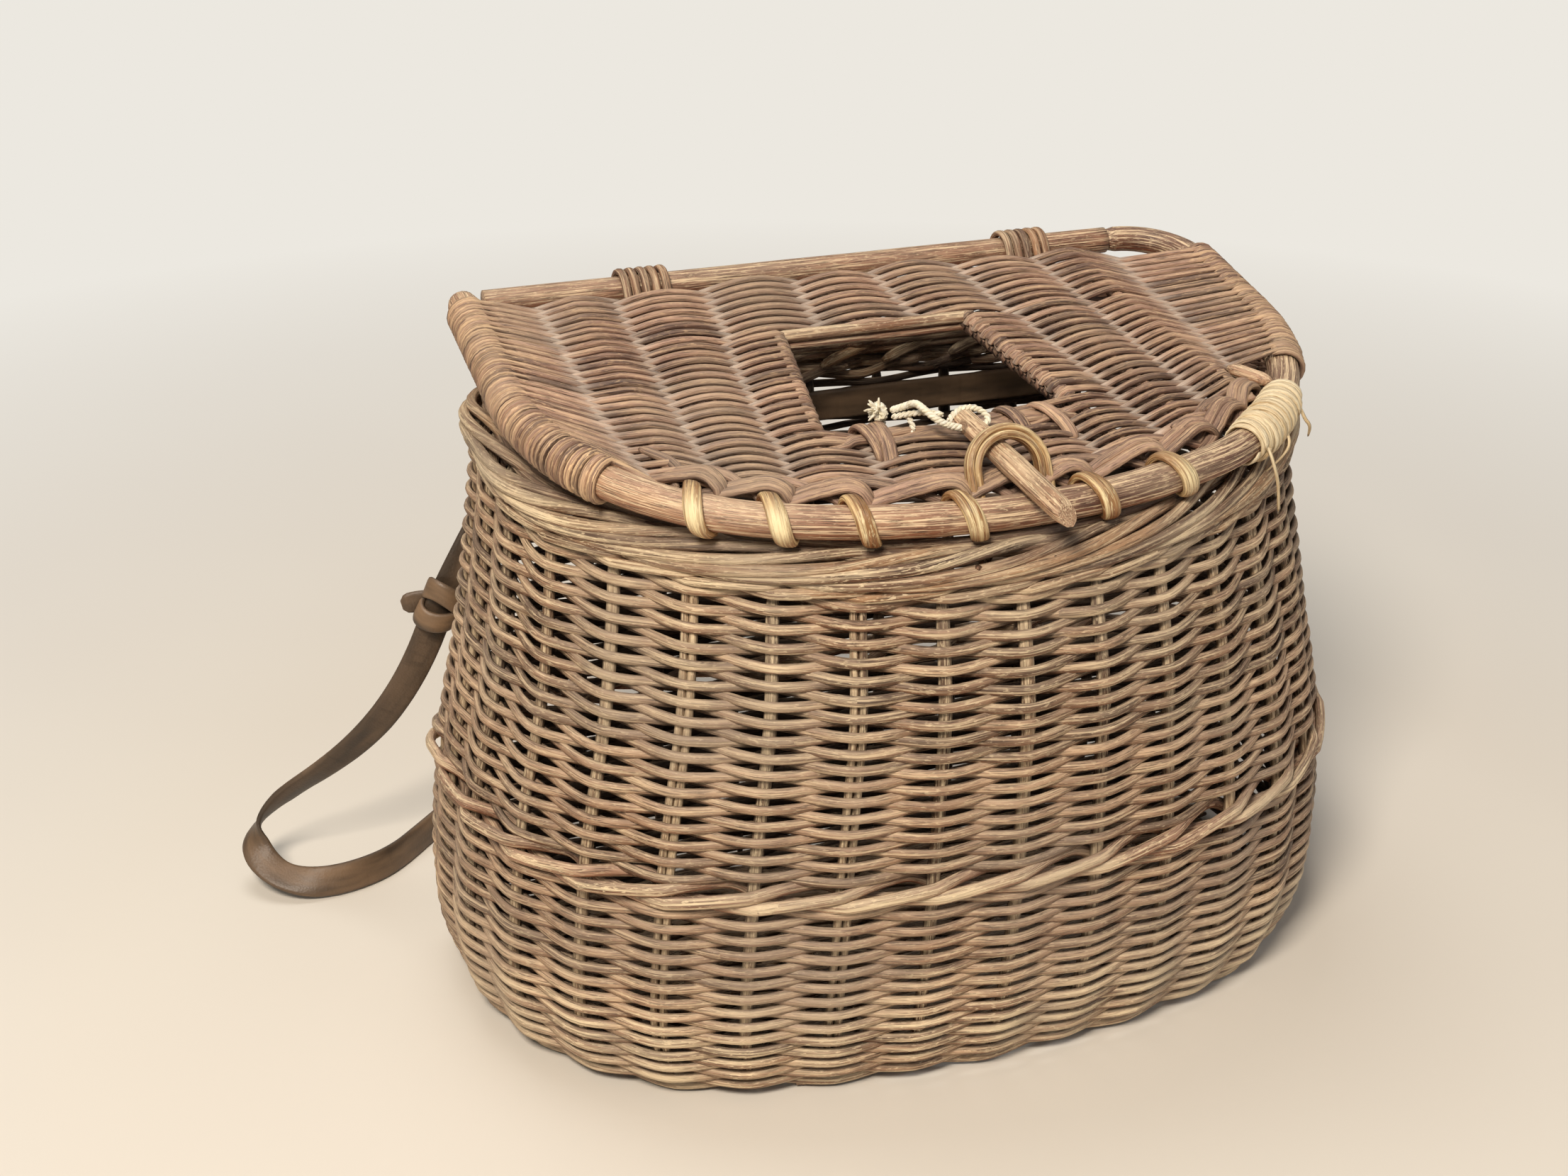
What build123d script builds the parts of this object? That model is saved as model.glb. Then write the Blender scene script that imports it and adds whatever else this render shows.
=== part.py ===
from build123d import *
import math
import os

# Wicker fishing creel, in millimetres. +Z up, +X to the right, +Y to the flat back.
# The origin is the centre of the underside, on the table.

# The basket's outside, station by station: height, half width at the waist, depth from the
# waist to the front, depth from the waist to the back, side radius as a share of front depth.
stations = (
    (0.0, 160.5, 105.0, 45.0, 0.93),
    (9.0, 170.5, 111.5, 47.5, 0.93),
    (40.0, 177.5, 121.0, 50.0, 0.92),
    (87.0, 173.5, 126.5, 52.5, 0.92),
    (150.0, 160.5, 127.0, 56.0, 0.86),
    (206.0, 152.0, 115.0, 60.0, 0.72),
    (232.0, 150.0, 113.0, 61.0, 0.72),
)
waist_y = 26.0  # the line across the basket where it is widest
back_corner_radius = 25.0

# Cane and willow
weave_wall = 5.0  # one course of randing, as a shell
stake_radius = 2.4
stake_count = 29
stake_inset = weave_wall + stake_radius + 1.1
base_thickness = 9.0
base_stick_radius = 2.6
base_stick_pitch = 38.0
base_stick_count = 7

# Wales and border
wale_bottom = 86.8
wale_height = 11.0
wale_proud = 2.2  # how far the wale stands out of the wall
rim_front_z = 213.9  # top of the border under the front rod
rim_front_y = -79.0
rim_slope = 4.1  # degrees that the rim rises to the back
border_width = 13.0
border_height = 9.5
border_proud = 2.0
border_corner = 2.6
top_wale_height = 4.8
ring_gap = 0.2
nail_places = ((-18.0, 4.3), (9.0, 4.2))  # x, and below the border's top
nail_radius = 1.4

# Lid, in its own plane: x to the right, y to the back, from the hinge axis
hinge_y = 95.7
hinge_z = 249.4
lid_slope = 8.9  # degrees that the lid falls to the front
lid_half_width = 144.0
lid_front = 106.0
lid_back = 70.6
lid_side_share = 0.93
rim_rod_radius = 5.8
rod_sides = 8
back_bar_radius = 5.0
back_bar_left = -136.5
back_bar_right = 118.0
lid_corner_radius = 25.0
rod_tip = 5.0  # the rim rod's butt end stands past the hinge axis
lid_thickness = 8.8
lid_rib_radius = 2.2
sleeve_radius = 8.6  # weavers turned round the side rims
sleeve_end_left = 37.0  # degrees round the side arc
sleeve_end_right = 14.0
front_edge_inset = 17.6  # from the front rod's centreline
front_edge_width = 4.6
hole_back = 59.4
hole_front = 120.1
hole_centre = -2.3
hole_back_width = 69.4
hole_front_width = 91.0

# Lid ribs: x at the back, x at the front, where each starts and ends in front of the hinge.
# An end of 0 runs to the rod.
rib_lines = (
    (-106.5, -103.5, 7.0, 0),
    (-72.5, -79.5, 16.5, 0),
    (-35.0, -57.0, 7.0, 0),
    (-3.0, -3.0, 7.0, 58.0),
    (-17.0, -19.0, 121.5, 0),
    (25.5, 28.0, 121.5, 0),
    (28.0, 58.0, 7.0, 0),
    (63.0, 88.0, 7.0, 0),
    (96.0, 113.0, 7.0, 124.0),
)
rib_span = 161.0
wrap_places = (-103.0, -80.0, -54.0, -19.0, 28.0, 60.0)
wrap_width = 6.4
wrap_thickness = 1.4
wrap_tail = 15.0
hole_wrap_places = (-31.0, -20.5, 1.5, 21.5, 34.5)
hole_wrap_reach = 9.0

# Hinge lashings
lashing_places = (-77.0, 78.0)
lashing_cane = 1.6  # radius
lashing_turns = 3
lashing_pitch = 4.1
lashing_fit = 0.1  # clearance round the turning bar and the border

# Latch: springy cane loop on the basket, wooden peg through it, string to the lid
loop_x = 3.0
loop_radius = 14.0
loop_band = 1.9  # the cane is flat, and goes round twice
loop_width = 4.4
loop_lean = 27.0  # degrees back from upright
loop_foot_y = -76.6
loop_foot_z = 206.0
loop_leg = 28.4
peg_back = (-2.0, 131.5)
peg_front = (8.0, 200.5)
peg_lift = 9.8
peg_half_width = 4.8
peg_half_height = 3.6
peg_waist = 38.0  # where it is thickest, from the inner end
peg_taper = 1.0  # degrees
peg_hole_from_end = 8.0
string_radius = 1.15
string_route = (
    (-23.0, -119.4, 8.2),
    (-18.6, -121.2, 10.4),
    (-16.8, -124.8, 13.7),
    (-16.3, -130.2, 14.6),
    (-12.9, -135.6, 12.4),
    (-7.3, -136.85, 9.75),
    (-3.4, -138.4, 9.75),
)

# Raffia mend on the right front corner of the rim
raffia_radius = 2.2
raffia_turns = 6
raffia_pitch = 5.4
raffia_start = 37.0  # degrees round the side arc

# Carrying strap, 12.7 wide and 2.5 thick, put in the solid as a round tube
strap_width = 12.7
strap_thickness = 2.5
strap_tube_radius = 4.0
strap_slot_x = 107.0
strap_slot_z = 203.0
knot_length = 20.0
knot_radius = 8.5
strap_route = (
    (-107.0, 87.4, 203.0),
    (-107.0, 96.0, 203.0),
    (-112.0, 103.5, 196.0),
    (-128.0, 105.0, 177.0),
    (-148.6, 101.0, 144.6),
    (-157.6, 102.5, 126.3),
    (-167.5, 105.0, 100.7),
    (-179.7, 110.0, 78.4),
    (-192.5, 116.0, 62.1),
    (-206.2, 121.5, 49.7),
    (-218.1, 127.0, 40.1),
    (-227.0, 130.2, 31.6),
    (-233.0, 130.0, 25.0),
    (-235.8, 126.0, 19.4),
    (-234.2, 119.5, 14.0),
    (-227.5, 112.0, 8.6),
    (-215.5, 106.2, 6.6),
    (-200.0, 106.5, 6.4),
    (-182.0, 113.5, 6.5),
    (-166.0, 129.0, 6.4),
    (-149.0, 146.0, 6.5),
    (-122.0, 158.0, 6.4),
    (-84.0, 160.5, 6.4),
    (-38.0, 152.0, 6.4),
    (12.0, 141.0, 6.4),
    (58.0, 137.5, 6.5),
    (88.0, 134.5, 12.0),
    (106.0, 126.0, 36.0),
    (114.5, 115.0, 76.0),
    (115.5, 106.5, 122.0),
    (112.5, 104.0, 161.0),
    (108.0, 105.0, 190.5),
    (107.0, 97.0, 203.0),
    (107.0, 87.4, 203.0),
)
knot_place = 5  # the route's point at the knot's middle


def between(values, places, at):
    """A smooth value between stations, which never overshoots them."""
    k = max(i for i in range(len(places) - 1) if places[i] <= at or i == 0)
    steps = [
        (values[i + 1] - values[i]) / (places[i + 1] - places[i]) for i in range(len(places) - 1)
    ]

    def slope(i):
        if i in (0, len(places) - 1):
            return steps[min(i, len(steps) - 1)]
        if steps[i - 1] * steps[i] <= 0:
            return 0.0
        return 2 * steps[i - 1] * steps[i] / (steps[i - 1] + steps[i])

    run = places[k + 1] - places[k]
    t = (at - places[k]) / run
    return (
        (2 * t**3 - 3 * t**2 + 1) * values[k]
        + (t**3 - 2 * t**2 + t) * run * slope(k)
        + (3 * t**2 - 2 * t**3) * values[k + 1]
        + (t**3 - t**2) * run * slope(k + 1)
    )


def arch_parts(half_width, front, side_radius):
    """Centre and radius of the front arc, and the point where it meets the side arc."""
    radius = ((half_width - side_radius) ** 2 + front**2 - side_radius**2) / (
        2 * (front - side_radius)
    )
    side_x = half_width - side_radius
    turn = math.atan2(radius - front, side_x)
    meet = (side_x + side_radius * math.cos(turn), -side_radius * math.sin(turn))
    return radius, turn, meet


def outline(half_width, front, back, side_radius, corner):
    """A closed D, from the middle of its straight back round by the left, with its waist on y = 0."""
    _, turn, meet = arch_parts(half_width, front, side_radius)
    side_x = half_width - side_radius
    half = turn / 2
    side_mid = (side_x + side_radius * math.cos(half), -side_radius * math.sin(half))
    bend = corner * (1 - math.sqrt(0.5))
    edges = [
        Line((0, back), (corner - half_width, back)),
        ThreePointArc(
            (corner - half_width, back),
            (bend - half_width, back - bend),
            (-half_width, back - corner),
        ),
        Line((-half_width, back - corner), (-half_width, 0)),
        ThreePointArc((-half_width, 0), (-side_mid[0], side_mid[1]), (-meet[0], meet[1])),
        ThreePointArc((-meet[0], meet[1]), (0, -front), meet),
        ThreePointArc(meet, side_mid, (half_width, 0)),
        Line((half_width, 0), (half_width, back - corner)),
        ThreePointArc(
            (half_width, back - corner),
            (half_width - bend, back - bend),
            (half_width - corner, back),
        ),
        Line((half_width - corner, back), (0, back)),
    ]
    return Wire(edges)


def wall_outline(height, inset=0.0):
    """The basket's outline at a height, drawn in by inset."""
    heights = [s[0] for s in stations]
    half_width, front, back, share = (
        between([s[k] for s in stations], heights, height) for k in range(1, 5)
    )
    flat = outline(
        half_width - inset,
        front - inset,
        back - inset,
        share * front - inset,
        back_corner_radius - inset,
    )
    return Pos(0, waist_y, height) * flat


def as_woven(smooth):
    """An outline as weavers take it: straight from each stake to midway, and on to the next."""
    corners = [smooth @ (k / (2 * stake_count)) for k in range(2 * stake_count)]
    return Polyline(*corners, close=True).wire()


def woven_outline(height, inset=0.0):
    """The woven wall's outline at a height, drawn in by inset."""
    return as_woven(wall_outline(height, inset))


def wall_shell(heights):
    """One woven wall between the first and the last of the heights."""
    outside = Solid.make_loft([woven_outline(h) for h in heights], ruled=True)
    inside = Solid.make_loft([woven_outline(h, weave_wall) for h in heights], ruled=True)
    return outside - inside


def rim_plane(drop=0.0):
    """The sloping plane of the border's top, or one that much below it."""
    slope = math.radians(rim_slope)
    normal = Vector(0, -math.sin(slope), math.cos(slope))
    return Plane(
        origin=Vector(0, rim_front_y, rim_front_z) - normal * drop, x_dir=(1, 0, 0), z_dir=normal
    )


def below_rim(drop):
    """A block that holds everything under a plane parallel to the rim."""
    return rim_plane(drop) * Pos(0, 80, -150) * Box(500, 500, 300)


def ring_band(outer, inner, plane, height, broken=0.0):
    """A ring between two outlines, built down from a plane, with its top edges broken."""
    band = extrude(make_face(outer) - make_face(inner), -height)
    if broken:
        band = chamfer(band.faces().sort_by(Axis.Z)[-1].edges(), broken)
    return plane * band


def rim_outline(inset):
    """The outline at the rim, in the rim plane's own coordinates."""
    _, half_width, front, back, share = stations[-2]
    flat = outline(
        half_width - inset,
        front - inset,
        back - inset,
        share * front - inset,
        back_corner_radius - inset,
    )
    return Pos(0, waist_y - rim_front_y, 0) * flat


def faceted_rod(start, end, radius, sides):
    """A straight stick or cane with flats, between two points."""
    start = Vector(*start)
    end = Vector(*end)
    plane = Plane(origin=start, z_dir=end - start)
    return extrude(plane * RegularPolygon(radius, sides), (end - start).length)


def lower_wale():
    """Three rods of waling, as one ring that stands proud of the wall."""
    outer = woven_outline(wale_bottom, -wale_proud)
    inner = woven_outline(wale_bottom, weave_wall)
    return extrude(make_face(outer) - make_face(inner), wale_height)


def stakes():
    """The uprights, set against the inside of the weave."""
    levels = (base_thickness + 0.3, 60.0, 145.0)
    top_plane = rim_plane(border_height + 0.4)
    group = []
    for k in range(stake_count):
        share = (k + 0.5) / stake_count
        sections = []
        for level in levels:
            centre = wall_outline(level, stake_inset) @ share
            sections.append(Pos(centre.X, centre.Y, level) * RegularPolygon(stake_radius, 6).wire())
        last = wall_outline(206.0, stake_inset) @ share
        over = top_plane.to_local_coords(Vector(last.X, last.Y, 206.0)).Z
        sections.append(Pos(last.X, last.Y, 206.0 - over) * RegularPolygon(stake_radius, 6).wire())
        group.append(Solid.make_loft(sections, ruled=True))
    return group


def base_sticks(radius=base_stick_radius, extra=0.0):
    """Sticks that the base is woven on, from front to back, clear of the wall."""
    sticks = []
    first = -(base_stick_count - 1) / 2 * base_stick_pitch
    for k in range(base_stick_count):
        x = first + k * base_stick_pitch
        reach = 62.0 if abs(x) < base_stick_pitch * 2.5 else 38.0
        sticks.append(
            faceted_rod(
                (x, -reach - extra, base_thickness / 2), (x, 58.0 + extra, base_thickness / 2), radius, 8
            )
        )
    return sticks


def base_weave():
    """The woven base, with a channel for each stick."""
    inset = weave_wall + 1.2
    plate = Solid.make_loft(
        [woven_outline(0.0, inset), woven_outline(base_thickness, inset)], ruled=True
    )
    for channel in base_sticks(base_stick_radius + 0.2, 0.2):
        plate -= channel
    return plate


def lid_place():
    """The lid's own plane, with the hinge axis on its x axis."""
    slope = math.radians(lid_slope)
    return Plane(
        origin=(0, hinge_y, hinge_z), x_dir=(1, 0, 0), z_dir=(0, -math.sin(slope), math.cos(slope))
    )


def lid_outline(inset, front_inset=None):
    """The lid's D in its own plane, inside the rim rod's centreline."""
    front_inset = inset if front_inset is None else front_inset
    flat = outline(
        lid_half_width - inset,
        lid_front - front_inset,
        lid_back - inset,
        lid_side_share * lid_front - max(inset, front_inset),
        lid_corner_radius - min(inset, lid_corner_radius - 4.0),
    )
    return Pos(0, -lid_back, 0) * flat


def side_arc(side, radius, end):
    """The rim's side arc, from the waist to end degrees round."""
    centre_x = side * (lid_half_width - lid_side_share * lid_front)
    points = [
        (
            centre_x + side * radius * math.cos(math.radians(a)),
            -lid_back - radius * math.sin(math.radians(a)),
        )
        for a in (0, end / 2, end)
    ]
    return ThreePointArc(*points)


def rim_rod():
    """One rod: its butt end at the left, the front, and the bend into the back bar at the right."""
    side_radius = lid_side_share * lid_front
    _, turn, meet = arch_parts(lid_half_width, lid_front, side_radius)
    turn = math.degrees(turn)
    left = side_arc(-1, side_radius, turn)
    right = side_arc(1, side_radius, turn)
    bend = lid_corner_radius * (1 - math.sqrt(0.5))
    corner = ThreePointArc(
        (lid_half_width, -lid_corner_radius),
        (lid_half_width - bend, -bend),
        (lid_half_width - lid_corner_radius, 0),
    )
    path = Wire(
        [
            Line((-lid_half_width, rod_tip), (-lid_half_width, -lid_back)),
            left,
            ThreePointArc(
                (-meet[0], meet[1] - lid_back), (0, -lid_front - lid_back), (meet[0], meet[1] - lid_back)
            ),
            right,
            Line((lid_half_width, -lid_back), (lid_half_width, -lid_corner_radius)),
            corner,
        ]
    )
    start = Plane(origin=(-lid_half_width, rod_tip, 0), z_dir=(0, -1, 0))
    return sweep(start * RegularPolygon(rim_rod_radius, rod_sides), path=path)


def back_bar():
    """The straight bar that turns in the lashings."""
    length = back_bar_right - back_bar_left
    middle = (back_bar_right + back_bar_left) / 2
    return Pos(middle, 0, 0) * Cylinder(back_bar_radius, length, rotation=(0, 90, 0))


def rib_rod(line, radius, extra=0.0):
    """One lid rib as a straight rod."""
    x_back, x_front, start, end = line
    run = (x_front - x_back) / rib_span
    if end == 0:
        rod, way = rod_point(x_front)
        end = -rod.Y - (rim_rod_radius + lid_rib_radius) / abs(way.normalized().X)
    ends = [(x_back + run * (v - 7.0), -v, 0) for v in (start - extra, end + extra)]
    return faceted_rod(ends[0], ends[1], radius, 6)


def hole_face():
    """The fish hole, wider at the front."""
    half_back = hole_back_width / 2
    half_front = hole_front_width / 2
    corners = Polyline(
        (hole_centre - half_back, -hole_back),
        (hole_centre + half_back, -hole_back),
        (hole_centre + half_front, -hole_front),
        (hole_centre - half_front, -hole_front),
        close=True,
    )
    return make_face(corners)


def lashing_slots():
    """Room in the lid's weave for the lashings, from the bar forward."""
    width = lashing_turns * lashing_pitch + 2 * lashing_cane + 1.4
    return [Pos(x, -9.0) * Rectangle(width, 12.0) for x in lashing_places]


def front_region():
    """Where the lid's edge is open, with a gap between the weave and the rod."""
    corners = Polyline((-170, -131), (170, -98), (170, -230), (-170, -230), close=True)
    return make_face(corners)


def lid_weave():
    """The lid's woven panel: fish hole, lashing slots and a channel for each rib."""
    edge = lid_outline(front_edge_inset + front_edge_width + 0.3)
    face = make_face(lid_outline(sleeve_radius + 0.3)) - (front_region() - make_face(edge))
    face = face - hole_face()
    for slot in lashing_slots():
        face = face - slot
    panel = Pos(0, 0, -lid_thickness / 2) * extrude(face, lid_thickness)
    for line in rib_lines:
        panel -= rib_rod(line, lid_rib_radius + 0.2, 0.2)
    return panel


def front_edge():
    """The plaited edge behind the front rod, open between it and the rod."""
    outer = make_face(lid_outline(front_edge_inset))
    inner = make_face(lid_outline(front_edge_inset + front_edge_width))
    strip = (outer - inner) & front_region()
    solid = Pos(0, 0, -lid_thickness / 2) * extrude(strip, lid_thickness)
    for line in rib_lines:
        solid -= rib_rod(line, lid_rib_radius + 0.2, 0.2)
    return solid


def side_sleeve(side, start, end):
    """Weavers turned round a side rim, as a sleeve."""
    path = Wire(
        [
            Line((side * lid_half_width, -start), (side * lid_half_width, -lid_back)),
            side_arc(side, lid_side_share * lid_front, end),
        ]
    )
    plane = Plane(origin=(side * lid_half_width, -start, 0), z_dir=(0, -1, 0))
    section = RegularPolygon(sleeve_radius, rod_sides) - RegularPolygon(
        rim_rod_radius + 0.4, rod_sides
    )
    return sweep(plane * section, path=path)


def rod_point(x):
    """Where the rim rod's front centreline is at x, and the way that it runs there."""
    side_radius = lid_side_share * lid_front
    radius, _, meet = arch_parts(lid_half_width, lid_front, side_radius)
    if abs(x) <= meet[0]:
        sag = math.sqrt(radius**2 - x**2)
        return Vector(x, radius - lid_front - sag - lid_back, 0), Vector(sag, x, 0)
    side = math.copysign(lid_half_width - side_radius, x)
    sag = math.sqrt(side_radius**2 - (x - side) ** 2)
    return Vector(x, -sag - lid_back, 0), Vector(sag, x - side, 0)


def rod_wrap(x):
    """A rib's pared end: over the rod, round its front and back below."""
    centre, way = rod_point(x)
    plane = Plane(origin=centre, x_dir=(0, 0, -1), z_dir=way)
    inner = rim_rod_radius + 0.25
    outer = inner + wrap_thickness
    band = RegularPolygon(outer, 16) - RegularPolygon(inner, 16)
    legs = Pos(0, wrap_tail / 2) * (Rectangle(2 * outer, wrap_tail) - Rectangle(2 * inner, wrap_tail))
    behind = Pos(0, outer) * Rectangle(2 * outer + 2, 2 * outer)
    shape = (band - behind) + legs
    return plane * Pos(0, 0, -wrap_width / 2) * extrude(shape, wrap_width)


def biarc(start, start_way, end, end_way):
    """Two arcs from one point to another with the given directions, or a line where it is straight."""
    chord = end - start
    both = start_way + end_way
    if start_way.cross(chord).length < 1e-4 * chord.length:
        return [Line(start, end)]
    a = 2 * (1 - start_way.dot(end_way))
    b = 2 * chord.dot(both)
    c = chord.dot(chord)
    reach = (-b + math.sqrt(b * b + 4 * a * c)) / (2 * a)
    middle = (start + start_way * reach + end - end_way * reach) / 2
    return [
        TangentArc(start, middle, tangent=start_way),
        TangentArc(middle, end, tangent=(end - end_way * reach - middle).normalized()),
    ]


def winding(places, radius, sides):
    """One unbroken tube through (point, direction) places."""
    edges = []
    for (start, start_way), (end, end_way) in zip(places, places[1:]):
        edges += biarc(start, start_way, end, end_way)
    path = Wire(edges)
    section = Plane(origin=places[0][0], z_dir=places[0][1]) * RegularPolygon(radius, sides)
    return sweep(section, path=path, clean=False), path


def self_gap(path, thickness, apart, steps=900):
    """The least gap between turns of a winding, measured on points along it."""
    points = [path @ (k / steps) for k in range(steps + 1)]
    step = path.length / steps
    skip = int(apart / step)
    gaps = [
        (points[i] - points[j]).length - thickness
        for i in range(0, steps, 3)
        for j in range(i + skip, steps, 3)
    ]
    return min(gaps)


def border_outside():
    """The border's back face in the rim plane's own coordinates."""
    return waist_y - rim_front_y + stations[-2][3] + border_proud


def lashing_belt():
    """Circles that a lashing's centreline goes round, in (y, z): the bar, and the border's corners."""
    outer = border_outside()
    corner = border_corner + lashing_cane + lashing_fit
    circles = [(Vector(hinge_y, hinge_z), back_bar_radius + lashing_cane + lashing_fit)]
    inner = outer - border_width
    corners = (
        (inner + border_corner, border_corner),
        (inner + border_corner, border_height - border_corner),
        (outer - border_corner, border_height - border_corner),
    )
    for across, drop in corners:
        place = rim_plane(drop).from_local_coords(Vector(0, across, 0))
        circles.append((Vector(place.Y, place.Z), corner))
    return circles


def belt_stops(circles):
    """Points and directions round a belt on circles, with the length of each step to the next."""
    turns = []
    for (here, r), (there, s) in zip(circles, circles[1:] + circles[:1]):
        run = there - here
        turns.append(math.atan2(run.Y, run.X) - math.acos((r - s) / run.length))
    stops = []
    for k, (centre, radius) in enumerate(circles):
        arrive = turns[k - 1]
        swing = (turns[k] - arrive) % (2 * math.pi)
        pieces = math.ceil(swing / (0.9 * math.pi))
        for j in range(pieces + 1):
            angle = arrive + swing * j / pieces
            out = Vector(math.cos(angle), math.sin(angle))
            stops.append((centre + out * radius, Vector(-out.Y, out.X), radius * swing / pieces))
        point, way, _ = stops.pop()
        after, size = circles[(k + 1) % len(circles)]
        next_out = Vector(math.cos(turns[k]), math.sin(turns[k]))
        leg = (after + next_out * size - point).length
        stops.append((point, way, leg))
    return stops


def lashing(x):
    """A cane lashing: one strand, turn after turn round the back bar and the border."""
    stops = belt_stops(lashing_belt())
    rise = lashing_pitch / sum(step for _, _, step in stops)
    along = 0.0
    places = []
    start_x = x - lashing_turns * lashing_pitch / 2
    for _ in range(lashing_turns):
        for point, way, step in stops:
            at = Vector(start_x + along * rise, point.X, point.Y)
            places.append((at, Vector(rise, way.X, way.Y).normalized()))
            along += step
    return winding(places, lashing_cane, 4)


def raffia():
    """Raffia bound round the rim rod where it had split."""
    reach = lid_side_share * lid_front
    coil = rim_rod_radius + 0.15 + raffia_radius
    centre_x = lid_half_width - reach
    places = []
    for k in range(raffia_turns * 2 + 1):
        turn = k / 2
        along = turn * raffia_pitch
        angle = math.radians(raffia_start) + along / reach
        out = Vector(math.cos(angle), -math.sin(angle), 0)
        run = Vector(-math.sin(angle), -math.cos(angle), 0)
        theta = 2 * math.pi * turn
        centre = Vector(centre_x, -lid_back, 0) + out * reach
        point = centre + (out * math.cos(theta) + Vector(0, 0, 1) * math.sin(theta)) * coil
        way = (out * -math.sin(theta) + Vector(0, 0, 1) * math.cos(theta)) * 2 * math.pi * coil
        way += run * raffia_pitch * (1 + coil * math.cos(theta) / reach)
        places.append((point, way.normalized()))
    return winding(places, raffia_radius, 4)


def loop_plane():
    """The plane that the latch loop stands in: x to the right, y up along its legs."""
    lean = math.radians(loop_lean)
    return Plane(
        origin=(loop_x, loop_foot_y, loop_foot_z),
        x_dir=(1, 0, 0),
        z_dir=(0, -math.cos(lean), math.sin(lean)),
    )


def bow(radius, thickness, width, leg=loop_leg):
    """A flat cane bent into a bow with straight legs."""

    def arch(size):
        edges = [
            Line((-size, 0), (-size, leg)),
            ThreePointArc((-size, leg), (0, leg + size), (size, leg)),
            Line((size, leg), (size, 0)),
            Line((size, 0), (-size, 0)),
        ]
        return make_face(Wire(edges))

    flat = arch(radius + thickness / 2) - arch(radius - thickness / 2)
    return loop_plane() * Pos(0, 0, -width / 2) * extrude(flat, width)


def latch_loop():
    """Springy cane bent twice over itself, with its feet pushed down into the border."""
    inner = loop_radius - loop_band - 0.15
    return [bow(loop_radius, loop_band, loop_width), bow(inner, loop_band, loop_width)]


def loop_sockets():
    """Room for the loop's feet at the border's inner edge."""
    thickness = 2 * loop_band + 0.55
    middle = loop_radius - (loop_band + 0.15) / 2
    room = Box(thickness, 24.0, loop_width + 0.4)
    return [loop_plane() * Pos(side * middle, 11.6, 0) * room for side in (-1, 1)]


def peg_place():
    """The peg's own plane in the lid's plane: z along the peg, from its inner end."""
    foot = Vector(peg_back[0], -peg_back[1], peg_lift)
    tip = Vector(peg_front[0], -peg_front[1], peg_lift)
    return Plane(origin=foot, x_dir=(0, 0, 1), z_dir=tip - foot), (tip - foot).length


def toggle_peg():
    """A whittled peg: drilled inner end, thick middle, slanted tip."""
    plane, length = peg_place()
    angles = [math.radians(18 + 36 * k) for k in range(10)]
    points = [(peg_half_height * math.cos(a), peg_half_width * math.sin(a)) for a in angles]
    waist = make_face(Polyline(*points, close=True))
    tip = extrude(waist, length - peg_waist, taper=peg_taper)
    inner_end = mirror(extrude(waist, peg_waist, taper=peg_taper), about=Plane.XY)
    body = Pos(0, 0, peg_waist) * (tip + inner_end)
    drill = Pos(0, 0, peg_hole_from_end) * Rot(60, 0, 0) * Cylinder(string_radius + 0.5, 30)
    bevel = Pos(peg_half_height + 4.3, 0, length + 1.5) * Rot(0, 35, 0) * Box(10, 20, 12)
    return plane * (body - drill - bevel)


def cord_path(points):
    """Straight runs joined by arcs as large as the runs allow; prints the radii."""
    points = [Vector(*p) for p in points]
    radii = []
    for a, b, c in zip(points, points[1:], points[2:]):
        turn = math.radians((b - a).get_angle(c - b))
        radii.append(0.45 * min((b - a).length, (c - b).length) / math.tan(turn / 2))
    path = FilletPolyline(*points, radius=radii)
    print("arc radii", [round(r, 1) for r in radii], "length", round(path.length, 1))
    return path


def cord_tube(points, radius):
    """A tube along a cord's route; prints its volume against section times length."""
    path = cord_path(points)
    section = RegularPolygon(radius, 6)
    tube = sweep(Plane(origin=path @ 0, z_dir=path % 0) * section, path=path)
    print("tube volume over section x length", round(tube.volume / (section.area * path.length), 4))
    return tube


def strap_slot(side):
    """A gap in the back weave where the strap comes out."""
    return Pos(side * strap_slot_x, waist_y + 58.0, strap_slot_z) * Box(
        strap_thickness + 1.2, 26.0, strap_width + 1.0
    )


def strap_inside():
    """The strap's run across the inside of the back wall, with both ends out through the slots."""
    low = strap_slot_z - strap_width / 2
    wall = waist_y + between([s[3] for s in stations], [s[0] for s in stations], low)
    y_in = wall - stake_inset - stake_radius - 1.0 - strap_thickness
    band = Pos(0, y_in + strap_thickness / 2, strap_slot_z) * Box(
        2 * strap_slot_x + strap_thickness, strap_thickness, strap_width
    )
    reach = strap_route[0][1] - y_in
    for side in (-1, 1):
        band += Pos(side * strap_slot_x, y_in + reach / 2, strap_slot_z) * Box(
            strap_thickness, reach, strap_width
        )
    return band


def strap_knot():
    """The knot that makes the strap's length good, round the tube of the strap."""
    plane = Plane(
        origin=strap_route[knot_place],
        z_dir=Vector(*strap_route[knot_place + 1]) - Vector(*strap_route[knot_place - 1]),
    )
    half = knot_length / 2
    body = Pos(0, 0, -half) * extrude(RegularPolygon(knot_radius, 8), knot_length)
    ends = body.faces().filter_by(Axis.Z)
    body = chamfer(ends.edges(), 2.6)
    bore = Pos(0, 0, -half - 1) * extrude(RegularPolygon(strap_tube_radius + 1.1, 8), knot_length + 2)
    return plane * (body - bore)


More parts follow.
